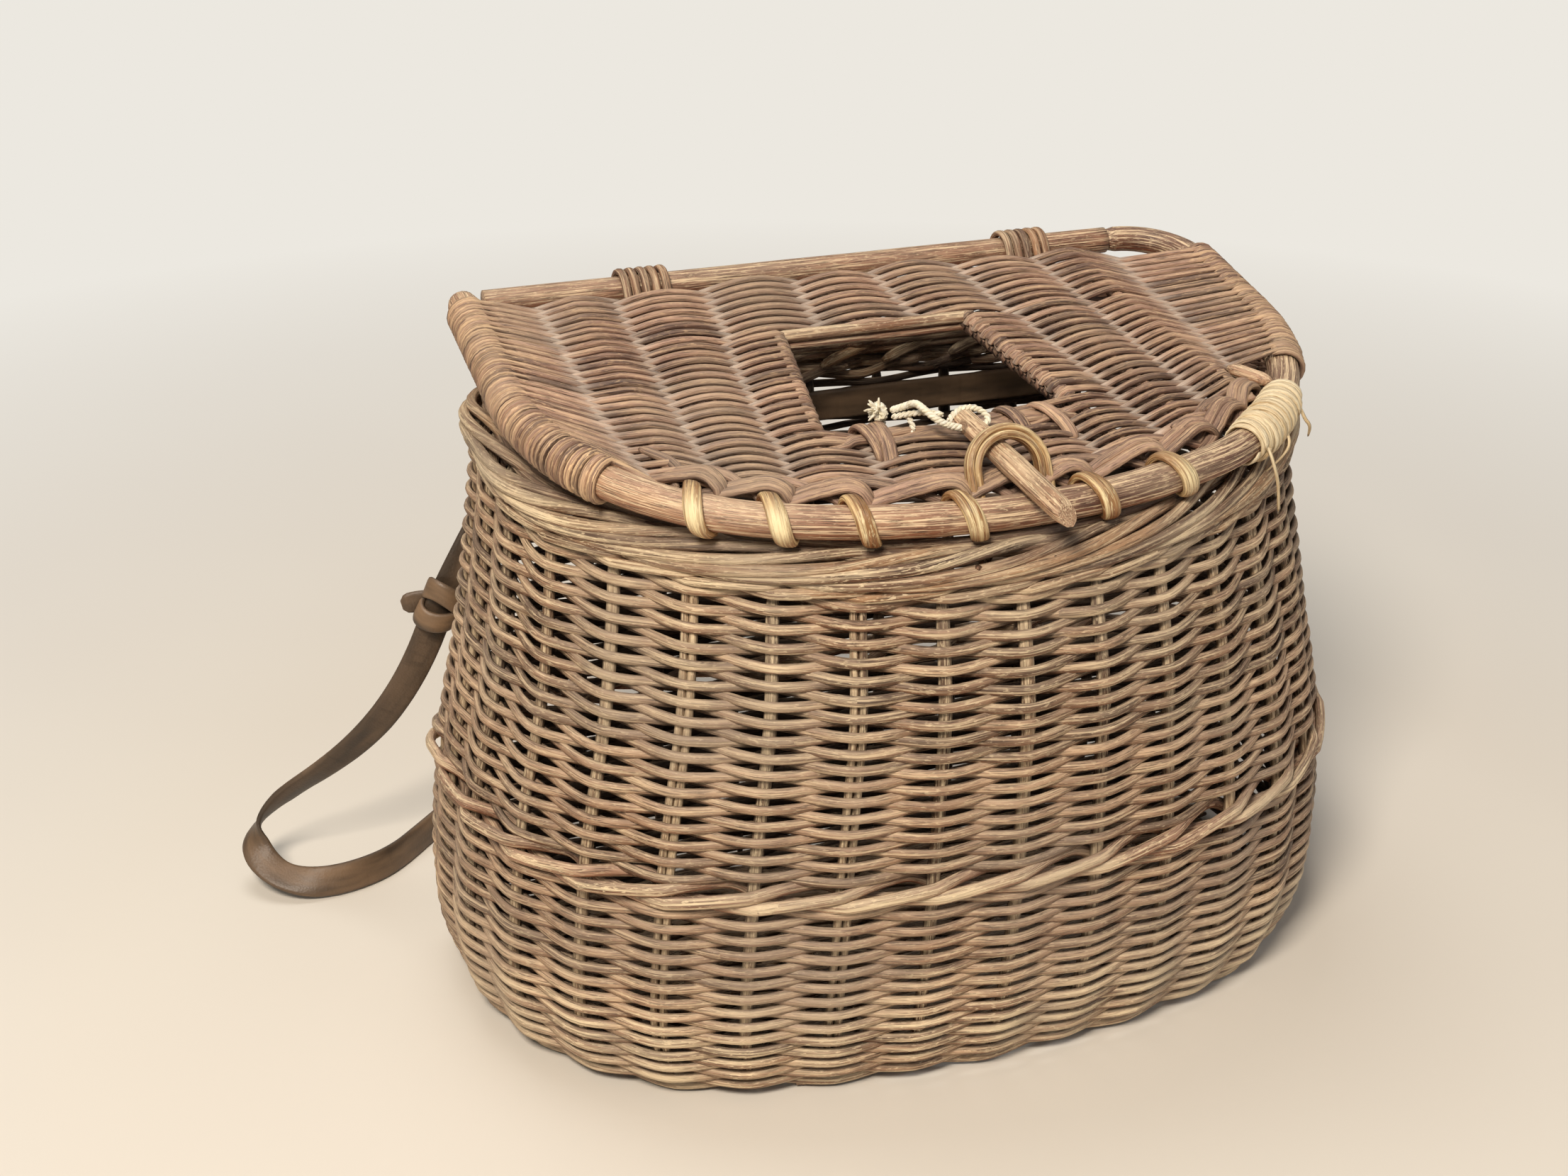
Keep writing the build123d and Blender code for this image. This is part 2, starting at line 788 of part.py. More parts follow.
def hole_wraps():
    """Cane turned over the front edge of the fish hole."""
    hooks = []
    for x in hole_wrap_places:
        outer = Pos(hole_wrap_reach / 2, 0) * Rectangle(hole_wrap_reach, lid_thickness + 2.4)
        inner = Pos(1.2 + hole_wrap_reach / 2, 0) * Rectangle(hole_wrap_reach, lid_thickness + 0.4)
        plane = Plane(origin=(x, 1.4 - hole_front, 0), x_dir=(0, -1, 0), z_dir=(1, 0, 0))
        hooks.append(plane * Pos(0, 0, -2.2) * extrude(outer - inner, 4.4))
    return hooks


def border_nails():
    """Small round heads on the outside of the border."""
    side_radius = stations[-2][4] * stations[-2][2]
    radius, _, _ = arch_parts(stations[-2][1], stations[-2][2], side_radius)
    nails = []
    for x, drop in nail_places:
        sag = radius - math.sqrt(radius**2 - x**2)
        across = waist_y - rim_front_y - stations[-2][2] - border_proud + sag
        head = rim_plane(drop) * Pos(x, across - 0.8, 0) * Rot(90, 0, 0)
        nails.append(head * Pos(0, 0, -0.5) * extrude(RegularPolygon(nail_radius, 12), 1.0))
    return nails


def string_tube():
    """The string, from its knot at the hole's front edge into the drilled end of the peg."""
    place = lid_place()
    points = [tuple(place.from_local_coords(Vector(*p))) for p in string_route]
    return cord_tube(points, string_radius)


def string_knot():
    """The frayed knot that ties the string down, between two wraps at the hole's front edge."""
    end = Vector(*string_route[0])
    way = (Vector(*string_route[1]) - end).normalized()
    plane = Plane(origin=end - way * 5.6, z_dir=way)
    body = extrude(RegularPolygon(2.8, 8), 5.4)
    return plane * chamfer(body.faces().filter_by(Axis.Z).edges(), 1.1)


def rim_and_upper_wall():
    """The upper weave, the top wale and the border, with room for what passes through them."""
    upper = wall_shell([wale_bottom + wale_height + ring_gap, 122.0, 150.0, 206.0, 222.0])
    upper = upper & below_rim(border_height + top_wale_height + 2 * ring_gap)
    wale = ring_band(
        as_woven(rim_outline(-1.0)),
        as_woven(rim_outline(4.2)),
        rim_plane(border_height + ring_gap),
        top_wale_height,
    )
    border = ring_band(
        rim_outline(-border_proud),
        rim_outline(border_width - border_proud),
        rim_plane(),
        border_height,
        border_corner,
    )
    for side in (-1, 1):
        upper -= strap_slot(side)
    for x in lashing_places:
        width = lashing_turns * lashing_pitch + 2 * lashing_cane + 1.0
        wale -= rim_plane(border_height) * Pos(x, 165, 0) * Box(width, 60, 2 * 3.6)
        for across in (border_outside() - border_width, border_outside()):
            corner = rim_plane(border_height) * Pos(x, across, 0) * Rot(45, 0, 0)
            border -= corner * Box(width, border_corner * 2**0.5, border_corner * 2**0.5)
    for socket in loop_sockets():
        border -= socket
    return upper, wale, border


os.makedirs("parts", exist_ok=True)
lid = lid_place()
parts = {}

parts["base_sticks"] = base_sticks()
parts["base_weave"] = [base_weave()]
parts["side_stakes"] = stakes()
parts["lower_weave"] = [wall_shell([0.0, 9.0, 40.0, wale_bottom - ring_gap])]
parts["lower_wale"] = [lower_wale()]
upper, wale, border = rim_and_upper_wall()
parts["upper_weave"] = [upper]
parts["top_wale"] = [wale]
parts["top_border"] = [border]
parts["border_nails"] = border_nails()
parts["latch_loop"] = latch_loop()

parts["hinge_lashings"] = []
for x in lashing_places:
    tube, path = lashing(x)
    parts["hinge_lashings"].append(tube)
    print("lashing least self gap", round(self_gap(path, 2 * lashing_cane, 30.0), 2))

parts["lid_rim_rod"] = [lid * rim_rod()]
parts["lid_back_bar"] = [lid * back_bar()]
parts["lid_ribs"] = [lid * rib_rod(line, lid_rib_radius) for line in rib_lines]
parts["lid_weave"] = [lid * lid_weave()]
parts["lid_front_edge"] = [lid * front_edge()]
parts["left_rim_sleeve"] = [lid * side_sleeve(-1, 8.0, sleeve_end_left)]
parts["right_rim_sleeve"] = [lid * side_sleeve(1, lid_corner_radius + 1.0, sleeve_end_right)]
binding, path = raffia()
parts["rim_wraps"] = [lid * rod_wrap(x) for x in wrap_places] + [lid * binding]
print("raffia least self gap", round(self_gap(path, 2 * raffia_radius, 30.0, 2400), 2))
parts["hole_wraps"] = [lid * hook for hook in hole_wraps()]
parts["string_knot"] = [lid * string_knot()]
parts["toggle_string"] = [string_tube()]
parts["toggle_peg"] = [lid * toggle_peg()]

parts["strap_inside"] = [strap_inside()]
parts["strap_loop"] = [cord_tube(strap_route, strap_tube_radius)]
parts["strap_knot"] = [strap_knot()]

for name, solids in parts.items():
    whole = solids[0] if len(solids) == 1 else Compound(children=list(solids))
    export_step(whole, f"parts/{name}.step")
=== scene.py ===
import math

import bpy
import numpy as np
from mathutils import Matrix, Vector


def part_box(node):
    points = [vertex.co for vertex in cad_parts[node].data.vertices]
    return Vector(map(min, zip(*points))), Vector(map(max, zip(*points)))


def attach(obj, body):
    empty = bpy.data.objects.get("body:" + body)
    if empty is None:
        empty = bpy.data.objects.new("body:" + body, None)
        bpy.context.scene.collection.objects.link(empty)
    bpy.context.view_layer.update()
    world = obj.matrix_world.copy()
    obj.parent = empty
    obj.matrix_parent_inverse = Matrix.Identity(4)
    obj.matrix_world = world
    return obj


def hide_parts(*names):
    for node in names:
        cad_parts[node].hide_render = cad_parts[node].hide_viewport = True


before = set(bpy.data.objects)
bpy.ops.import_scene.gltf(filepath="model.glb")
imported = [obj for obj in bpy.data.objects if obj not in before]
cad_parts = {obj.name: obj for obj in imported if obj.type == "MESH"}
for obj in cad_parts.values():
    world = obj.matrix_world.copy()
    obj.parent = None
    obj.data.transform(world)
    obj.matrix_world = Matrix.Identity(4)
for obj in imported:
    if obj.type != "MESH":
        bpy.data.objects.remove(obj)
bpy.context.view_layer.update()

# Wicker fishing creel, strand by strand. Lengths are in millimetres until makePiece turns them to metres.
mm = 0.001
rng = np.random.default_rng(11)
quarter = math.pi / 2

camera = {
    "place": (-307.9, -714.1, 539.5),
    "yaw": 19.69,  # degrees towards +X
    "pitch": 26.27,  # degrees down
    "roll": 0.70,
    "lens": 54.08,
    "sensor": 36.0,
}


def makeCamera(c):
    yaw, pitch, roll = (math.radians(c[k]) for k in ("yaw", "pitch", "roll"))
    forward = np.array([math.sin(yaw) * math.cos(pitch), math.cos(yaw) * math.cos(pitch), -math.sin(pitch)])
    right = np.array([math.cos(yaw), -math.sin(yaw), 0.0])
    up = np.cross(right, forward)
    data = bpy.data.cameras.new("camera")
    data.lens, data.sensor_width, data.sensor_fit = c["lens"], c["sensor"], "HORIZONTAL"
    holder = bpy.data.objects.new("camera", data)
    bpy.context.collection.objects.link(holder)
    axes = np.eye(4)
    axes[:3, 0] = math.cos(roll) * right + math.sin(roll) * up
    axes[:3, 1] = -math.sin(roll) * right + math.cos(roll) * up
    axes[:3, 2] = -forward
    axes[:3, 3] = np.array(c["place"]) * mm
    holder.matrix_world = Matrix(axes.tolist())
    bpy.context.scene.camera = holder


makeCamera(camera)


# sRGB hex to linear
def hexColour(text):
    values = [int(text[k : k + 2], 16) / 255 for k in (1, 3, 5)]
    return tuple(v / 12.92 if v <= 0.04045 else ((v + 0.055) / 1.055) ** 2.4 for v in values) + (1.0,)


# one node: inputs are sockets, hex colours or values; stops are for a ramp; gives its output number out
def addNode(tree, kind, inputs=(), stops=(), out=0, **settings):
    node = tree.nodes.new("ShaderNode" + kind)
    for key, value in settings.items():
        setattr(node, key, value)
    for socket, value in inputs.items() if isinstance(inputs, dict) else enumerate(inputs):
        if isinstance(value, bpy.types.NodeSocket):
            tree.links.new(value, node.inputs[socket])
        else:
            node.inputs[socket].default_value = hexColour(value) if isinstance(value, str) else value
    for k, (place, value) in enumerate(stops):
        element = node.color_ramp.elements[k] if k < 2 else node.color_ramp.elements.new(place)
        element.position = place
        element.color = hexColour(value) if isinstance(value, str) else (value, value, value, 1.0)
    return node.outputs[out] if node.outputs else node


def startMaterial(name):
    material = bpy.data.materials.new(name)
    material.use_nodes = True
    material.node_tree.nodes.clear()
    return material, material.node_tree


def finishMaterial(tree, height, relief, depth, surface):
    bump = addNode(tree, "Bump", {"Height": height, "Strength": relief, "Distance": depth * mm})
    addNode(tree, "OutputMaterial", [addNode(tree, "BsdfPrincipled", {"Normal": bump, **surface})])


# Cane and willow: split or peeled rods whose fibres show as fine streaks along each strand.
# Every strand carries its own grain coordinate in millimetres, so the streaks bend with it.
def makeCane(name, look):
    material, tree = startMaterial(name)
    marks = {
        key: addNode(tree, "Attribute", attribute_name=key, out=out)
        for key, out in (("grain", 1), ("tone", 2), ("wear", 2), ("dust", 2), ("innerShade", 2))
    }
    across = look["fibre"]
    noise = {}
    for key, scale, detail, rough in (
        ("fibre", (0.03, across, across), 3.0, 0.62),  # under a millimetre wide, centimetres long
        ("fine", (0.11, across * 2.4, across * 2.4), 2.0, 0.6),
        ("blotch", (0.075, 0.2, 0.2), 2.0, 0.5),  # about 13 mm long
        ("fleck", (0.33, 1.5, 1.5), 2.0, 0.6),  # chips of the skin, 3 mm long
    ):
        place = addNode(tree, "Mapping", {"Vector": marks["grain"], "Scale": scale})
        noise[key] = addNode(
            tree, "TexNoise", {"Vector": place, "Scale": 1.0, "Detail": detail, "Roughness": rough}
        )
    # weathering over the whole object, in patches of 60 mm
    whole = addNode(tree, "TexCoord", out=3)
    noise["patch"] = addNode(tree, "TexNoise", {"Vector": whole, "Scale": 17.0, "Detail": 2.0})
    # which way a face looks, up or down: painted shade goes on the downward faces, painted top light on the
    # upward ones
    facing = addNode(tree, "SeparateXYZ", [addNode(tree, "TexCoord", out=1)], out=2)
    half = addNode(tree, "Math", [facing, 0.5, 0.5], operation="MULTIPLY_ADD")
    shade = addNode(tree, "Mix", {0: 0.5, 2: marks["tone"], 3: noise["blotch"]})
    patchPart = addNode(tree, "Math", [noise["patch"], 0.5], operation="MULTIPLY")
    rubbing = addNode(tree, "Math", [noise["fibre"], 0.8, patchPart], operation="MULTIPLY_ADD")
    share = {}
    for key, source, stops in (
        ("body", shade, ((0.28, look["dark"]), (0.5, look["mid"]), (0.72, look["light"]))),
        ("below", half, ((0.15, look["shadeBelowShare"]), (0.52, 0.0))),
        ("above", half, ((0.55, 0.0), (0.9, look["bloomAndLightAboveShare"]))),
        ("patchy", noise["patch"], ((0.3, 0.6), (0.6, 1.0))),
        ("streaks", noise["fibre"], ((0.5, 0.0), (0.62, look["streaks"]))),
        ("lines", noise["fine"], ((0.37, look["lines"]), (0.48, 0.0))),
        ("flecks", noise["fleck"], ((0.57, 0.0), (0.64, 1.0))),
        ("worn", rubbing, ((0.56, 0.0), (0.74, look["worn"]))),
        ("grey", noise["patch"], ((0.44, 0.0), (0.66, look["grey"]))),
        ("drift", noise["blotch"], ((0.3, 0.35), (0.6, 1.0))),
        ("rough", noise["fibre"], ((0.35, look["rough"] - 0.08), (0.65, look["rough"] + 0.10))),
    ):
        share[key] = addNode(tree, "ValToRGB", [source], stops)
    chipping = addNode(tree, "Math", [marks["wear"], 0.55, look["flecks"]], operation="MULTIPLY_ADD")
    for key, first, second in (
        ("above", share["above"], share["patchy"]),
        ("flecks", share["flecks"], chipping),
        ("worn", marks["wear"], share["worn"]),
        ("drift", marks["dust"], share["drift"]),
    ):
        share[key] = addNode(tree, "Math", [first, second], operation="MULTIPLY")
    colour = share["body"]
    for cover, tint in (
        (share["below"], look["below"]),  # painted shade: the downward faces are tinted a darker orange brown
        (share["above"], look["above"]),  # a dry dust bloom and painted top light on the upward faces
        (share["streaks"], look["streak"]),
        (share["lines"], look["line"]),
        (share["flecks"], look["bare"]),
        (share["worn"], look["bare"]),  # where a strand stands out, paler wood shows
        (share["grey"], look["weathered"]),
        (share["drift"], look["dustColour"]),
        (marks["innerShade"], look["innerShadeColour"]),  # painted shade: the inner sides are darkened, as the inside of the basket is in shade
    ):
        colour = addNode(tree, "Mix", {0: cover, 6: colour, 7: tint}, out=2, data_type="RGBA")
    chips = addNode(tree, "Math", [noise["fleck"], 0.4, noise["fibre"]], operation="MULTIPLY_ADD")
    height = addNode(tree, "Math", [noise["fine"], 0.7, chips], operation="MULTIPLY_ADD")
    finishMaterial(
        tree, height, look["relief"], 0.6, {"Base Color": colour, "Roughness": share["rough"], "IOR": 1.5}
    )
    return material


baseLook = {
    "dark": "#5c4432", "mid": "#99775b", "light": "#c8a685",
    # painted shade on the downward faces, then a dust bloom with painted top light on the upward ones
    "below": "#77492c", "shadeBelowShare": 0.85,
    "above": "#b59f8a", "bloomAndLightAboveShare": 0.5,
    "streak": "#e0c6a2", "streaks": 0.6,
    "line": "#3a2518", "lines": 0.75,
    "bare": "#f6e0b8", "flecks": 0.22, "worn": 0.95,
    "weathered": "#968474", "grey": 0.42,
    # the last colour is the dark of the painted shade on the inner sides
    "dustColour": "#cdbfae", "innerShadeColour": "#21160f",
    "rough": 0.62, "relief": 0.8,
    "fibre": 1.1,  # features across a millimetre
}
# weathered round cane, boiled and dried: taupe, with a dust bloom and painted top light above, and painted
# shade in orange brown below
bodyCane = makeCane("weathered_round_cane", baseLook)
# border rods, browner, with long pale fibres
borderLook = {
    "dark": "#452d1d", "mid": "#78563c", "light": "#a37c57",
    "bloomAndLightAboveShare": 0.2, "flecks": 0.16, "worn": 0.8, "relief": 1.0,
}
borderCane = makeCane("weathered_border_rod", {**baseLook, **borderLook})
# waling rods with their skin on: brown, rubbed pale where they stand out
waleLook = {"dark": "#5a3d2b", "mid": "#936c53", "light": "#bc9579", "below": "#98552f", "grey": 0.3}
waleCane = makeCane("rubbed_waling_rod", {**baseLook, **waleLook})
# lid cane: greyish brown, dusty in its dips
lidLook = {
    "dark": "#4e362a", "mid": "#86634f", "light": "#b59078",
    "below": "#57362a", "shadeBelowShare": 0.6,
    "above": "#9b8373", "bloomAndLightAboveShare": 0.35,
    "streak": "#c0a084", "streaks": 0.6, "line": "#30201a",
    "bare": "#e0bd92", "flecks": 0.05, "worn": 0.6,
    "weathered": "#85786b", "grey": 0.3,
}
lidCane = makeCane("dusty_brown_cane", {**baseLook, **lidLook})
# cane at edges that hands have worn: orange brown
edgeLook = {
    "dark": "#4f3020", "mid": "#774f36", "light": "#9a6d49", "below": "#5f361f",
    "bloomAndLightAboveShare": 0.1, "grey": 0.1, "flecks": 0.06, "worn": 0.5,
}
edgeCane = makeCane("handled_orange_cane", {**baseLook, **edgeLook})
# stakes of peeled willow, greyed
stakeLook = {"dark": "#604937", "mid": "#8f7257", "light": "#b19473", "grey": 0.3}
stakeWood = makeCane("greyed_willow_stake", {**baseLook, **stakeLook})
# peeled brown willow rod: satin skin with fine pale streaks, a dry bloom and painted top light on top, painted
# shade below
rodLook = {
    "dark": "#58382a", "mid": "#8d634a", "light": "#bb906e",
    "below": "#85431f", "shadeBelowShare": 0.9,
    "above": "#ad8d77", "bloomAndLightAboveShare": 0.4,
    "streak": "#ecd0aa", "streaks": 0.8, "line": "#3c2214", "lines": 0.8,
    "bare": "#f2d9b0", "flecks": 0.16, "worn": 0.4, "grey": 0.1,
    "rough": 0.5, "fibre": 1.3,
}
rodWood = makeCane("peeled_brown_willow", {**baseLook, **rodLook})
# split cane with its skin out: brown in its grooves, worn to gold where it is rubbed
goldLook = {
    "dark": "#74502f", "mid": "#986e43", "light": "#b58a58", "below": "#8a5129",
    "above": "#a1835f", "bloomAndLightAboveShare": 0.3,
    "streak": "#e6c78f", "streaks": 0.7, "line": "#4f3019", "lines": 0.75,
    "bare": "#f4e2b4", "flecks": 0.1, "worn": 0.95, "grey": 0.0,
    "rough": 0.45, "relief": 0.9, "fibre": 1.0,
}
goldCane = makeCane("golden_split_cane", {**baseLook, **goldLook})
# raffia: pale, dry, fibrous leaf
raffiaLook = {
    "dark": "#b39568", "mid": "#e0c79b", "light": "#f6e5c2", "below": "#a8855b", "above": "#cdb592",
    "streak": "#eadbb9", "line": "#86683f", "bare": "#efe0be", "grey": 0.0,
    "rough": 0.7, "fibre": 1.8,
}
raffiaLeaf = makeCane("dry_raffia", {**baseLook, **raffiaLook})
# whittled hazel: bare wood with knife facets and long grain
pegLook = {
    "dark": "#6d4932", "mid": "#9c7457", "light": "#c09a78", "below": "#7b5438",
    "above": "#b39477", "bloomAndLightAboveShare": 0.4,
    "streak": "#e6cba6", "line": "#4a2d1c", "lines": 0.8, "bare": "#f0d8b0", "grey": 0.1,
    "relief": 0.9, "fibre": 1.3,
}
pegWood = makeCane("whittled_hazel", {**baseLook, **pegLook})
# twisted cotton string: cream, soft, with a little dirt
stringLook = {
    "dark": "#ddd0ae", "mid": "#efe5c9", "light": "#f8f1dd",
    "below": "#cdbd98", "shadeBelowShare": 0.4, "above": "#f4ecd6",
    "streak": "#fffaf0", "line": "#b5a683", "lines": 0.35, "bare": "#fdf8ea", "grey": 0.0,
    "rough": 0.85, "fibre": 2.2,
}
cottonString = makeCane("twisted_cotton", {**baseLook, **stringLook})


# strap leather, tanned dark and worn: fine pebbled grain, creases across, rubbed edges
leatherLook = {
    "dark": "#2f271f", "mid": "#4a3c2f", "light": "#665443",
    "crease": "#2a221a", "edge": "#98795a", "rough": 0.5,
}


def makeLeather(name, look):
    material, tree = startMaterial(name)
    grain = addNode(tree, "Attribute", attribute_name="grain", out=1)
    wear = addNode(tree, "Attribute", attribute_name="wear", out=2)
    fields = []
    for kind, scale, inputs in (
        ("TexVoronoi", (1.1, 1.1, 1.1), {}),  # pebbles under a millimetre
        ("TexNoise", (0.35, 0.06, 0.06), {"Detail": 3.0}),  # creases 3 mm apart
        ("TexNoise", (0.03, 0.12, 0.12), {"Detail": 3.0}),  # worn patches 30 mm long
    ):
        place = addNode(tree, "Mapping", {"Vector": grain, "Scale": scale})
        fields.append(addNode(tree, kind, {"Vector": place, "Scale": 1.0, **inputs}))
    pebble, crease, patch = fields
    stops = ((0.3, look["dark"]), (0.55, look["mid"]), (0.8, look["light"]))
    colour = addNode(tree, "ValToRGB", [patch], stops)
    creased = addNode(tree, "ValToRGB", [crease], ((0.56, 0.0), (0.7, 0.5)))
    patchy = addNode(tree, "ValToRGB", [patch], ((0.35, 0.2), (0.6, 0.9)))
    rubbed = addNode(tree, "Math", [wear, patchy], operation="MULTIPLY")
    for cover, tint in ((creased, look["crease"]), (rubbed, look["edge"])):
        colour = addNode(tree, "Mix", {0: cover, 6: colour, 7: tint}, out=2, data_type="RGBA")
    height = addNode(tree, "Math", [pebble, 0.5, crease], operation="MULTIPLY_ADD")
    stops = ((0.3, look["rough"] - 0.1), (0.7, look["rough"] + 0.08))
    rough = addNode(tree, "ValToRGB", [patch], stops)
    finishMaterial(tree, height, 0.35, 0.4, {"Base Color": colour, "Roughness": rough, "IOR": 1.5})
    return material


strapLeather = makeLeather("worn_strap_leather", leatherLook)


# small steel nail heads, gone brown with rust whose grains are about 0.6 mm
def makeRustedSteel(name):
    material, tree = startMaterial(name)
    place = addNode(tree, "TexCoord", out=3)
    rust = addNode(tree, "TexNoise", {"Vector": place, "Scale": 1600.0, "Detail": 3.0})
    colour = addNode(tree, "ValToRGB", [rust], ((0.35, "#3a2a20"), (0.55, "#5f4432"), (0.75, "#8a6a4c")))
    finishMaterial(tree, rust, 0.5, 0.2, {"Base Color": colour, "Metallic": 0.6, "Roughness": 0.55})
    return material


rustedSteel = makeRustedSteel("rusted_steel")
print("materials made")


def unit(vectors):
    return vectors / np.maximum(np.linalg.norm(vectors, axis=-1, keepdims=True), 1e-9)


def wayAlong(points):
    return unit(np.gradient(points, axis=0))


def lengthAlong(points):
    return np.concatenate([[0], np.cumsum(np.linalg.norm(np.diff(points, axis=0), axis=1))])


def spread(value, count):
    return np.broadcast_to(np.asarray(value, float), (count,)).copy()


layers = {"grain": "FLOAT_VECTOR", "tone": "FLOAT", "wear": "FLOAT", "dust": "FLOAT", "innerShade": "FLOAT"}


def newBundle():
    return {"count": 0, **{key: [] for key in ("verts", "loops", "sizes", *layers)}}


# A tube or band through points: width is across, thick along outward, and boxy under 1 squares it.
# Wear and dust lie on the side that faces outward, painted shade on the other.
def addStrand(
    bundle, points, outward, width, thick, sides=7,
    tone=None, wear=0.0, dust=0.0, innerShade=0.0, boxy=1.0, rounded=True,
):
    points = np.asarray(points, float)
    count = len(points)
    outward = np.broadcast_to(np.asarray(outward, float), (count, 3))
    along = wayAlong(points)
    side = unit(np.cross(along, outward))
    up = np.cross(side, along)
    width, thick = spread(width, count), spread(thick, count)
    if rounded:
        for k, share in ((0, 0.45), (1, 0.88)):
            for end in (k, count - 1 - k):
                width[end] *= share
                thick[end] *= share
    angle = np.arange(sides) * 2 * math.pi / sides
    across = np.sign(np.cos(angle)) * np.abs(np.cos(angle)) ** boxy
    rise = np.sign(np.sin(angle)) * np.abs(np.sin(angle)) ** boxy
    ring = (
        points[:, None]
        + side[:, None] * (across * 0.5)[None, :, None] * width[:, None, None]
        + up[:, None] * (rise * 0.5)[None, :, None] * thick[:, None, None]
    )
    shift = rng.uniform(0, 900, 3)
    grain = np.empty((count, sides, 3))
    grain[..., 0] = lengthAlong(points)[:, None] + shift[0]
    grain[..., 1] = across[None] * width[:, None] * 0.5 + shift[1]
    grain[..., 2] = rise[None] * thick[:, None] * 0.5 + shift[2]
    if tone is None:
        tone = rng.uniform(0, 1)
    facing = np.clip(rise, 0, 1)[None]
    bundle["verts"].append(ring.reshape(-1, 3))
    bundle["grain"].append(grain.reshape(-1, 3))
    bundle["tone"].append(np.repeat(spread(tone, count), sides))
    for key, amount, cover in (
        ("wear", wear, 0.25 + 0.75 * facing),
        ("dust", dust, facing),
        # painted shade on the side that faces away from outward
        ("innerShade", innerShade, np.clip(0.35 - rise, 0, 1)[None]),
    ):
        bundle[key].append((spread(amount, count)[:, None] * cover).reshape(-1))
    base = bundle["count"]
    last = base + (count - 1) * sides
    start = base + np.arange(count - 1)[:, None] * sides
    a = start + np.arange(sides)[None]
    b = start + (np.arange(sides)[None] + 1) % sides
    quads = np.stack([a, b, b + sides, a + sides], axis=-1).reshape(-1)
    bundle["loops"] += [quads, base + np.arange(sides)[::-1], last + np.arange(sides)]
    bundle["sizes"] += [np.full((count - 1) * sides, 4), np.array([sides, sides])]
    bundle["count"] += count * sides


# a mesh object from a bundle, put on its body
def makePiece(name, bundle, material, body, nodes=()):
    data = bpy.data.meshes.new(name)
    verts = np.concatenate(bundle["verts"]) * mm
    loops = np.concatenate(bundle["loops"]).astype(np.int32)
    sizes = np.concatenate(bundle["sizes"]).astype(np.int32)
    data.vertices.add(len(verts))
    data.vertices.foreach_set("co", verts.astype(np.float32).reshape(-1))
    data.loops.add(len(loops))
    data.loops.foreach_set("vertex_index", loops)
    data.polygons.add(len(sizes))
    data.polygons.foreach_set("loop_start", np.concatenate([[0], np.cumsum(sizes)[:-1]]).astype(np.int32))
    data.polygons.foreach_set("use_smooth", np.ones(len(sizes), bool))
    data.update(calc_edges=True)
    for key, kind in layers.items():
        values = np.concatenate(bundle[key]).astype(np.float32).reshape(-1)
        layer = data.attributes.new(key, kind, "POINT")
        layer.data.foreach_set("vector" if kind == "FLOAT_VECTOR" else "value", values)
    data.materials.append(material)
    piece = bpy.data.objects.new(name, data)
    bpy.context.collection.objects.link(piece)
    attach(piece, body)
    if nodes:
        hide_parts(*nodes)
    return piece


# corner cutting, which turns a few points into a soft line
def smooth(points, rounds=2):
    points = np.asarray(points, float)
    for _ in range(rounds):
        first = 0.75 * points[:-1] + 0.25 * points[1:]
        second = 0.25 * points[:-1] + 0.75 * points[1:]
        middle = np.stack([first, second], axis=1).reshape(-1, points.shape[1])
        points = np.concatenate([points[:1], middle, points[-1:]])
    return points


# the same line with points a step apart
def evenly(points, step):
    length = lengthAlong(points)
    places = np.linspace(0, length[-1], max(4, int(length[-1] / step) + 1))
    return np.stack([np.interp(places, length, column) for column in points.T], axis=1)


# soft seeded unevenness along a strand
def ripple(count, size, step=9):
    knots = rng.normal(0, size, count // step + 3)
    return np.interp(np.arange(count) / step, np.arange(len(knots)), knots)


basket = {
    # height, half width, depth to the front, depth to the back, side arc's share of the depth
    "stations": (
        (0.0, 160.5, 105.0, 45.0, 0.93),
        (9.0, 170.5, 111.5, 47.5, 0.93),
        (40.0, 177.5, 121.0, 50.0, 0.92),
        (87.0, 173.5, 126.5, 52.5, 0.92),
        (150.0, 160.5, 127.0, 56.0, 0.86),
        (206.0, 152.0, 115.0, 60.0, 0.72),
        (232.0, 150.0, 113.0, 61.0, 0.72),
    ),
    "waistY": 26.0, "corner": 25.0,
    "stakes": 29, "stakeInset": 4.1, "stakeWidth": 5.2, "stakeThick": 3.6,
    "twins": (18, 19, 21),  # stakes that were laid in pairs
    "weaver": 3.95, "weaverThick": 2.7,
    "swing": 2.75,  # how far a weaver goes in and out round a stake
    # how dark the inner sides of the walls are painted: painted shade of the inside of the basket
    "innerShade": 0.85,
    # the back wall's weavers: how much less they swing, how much fuller they are, and
    # how much thinner above 125 mm, so that daylight shows between them
    "calm": 0.36, "full": 0.19, "open": 0.45, "openFrom": 125.0,
    # where the belly has rubbed pale: height, reach and strength
    "rubbed": ((18, 26, 1.25), (180, 40, 0.45)),
    "rimZ": 213.9, "rimY": -79.0, "rimSlope": 4.1,
}


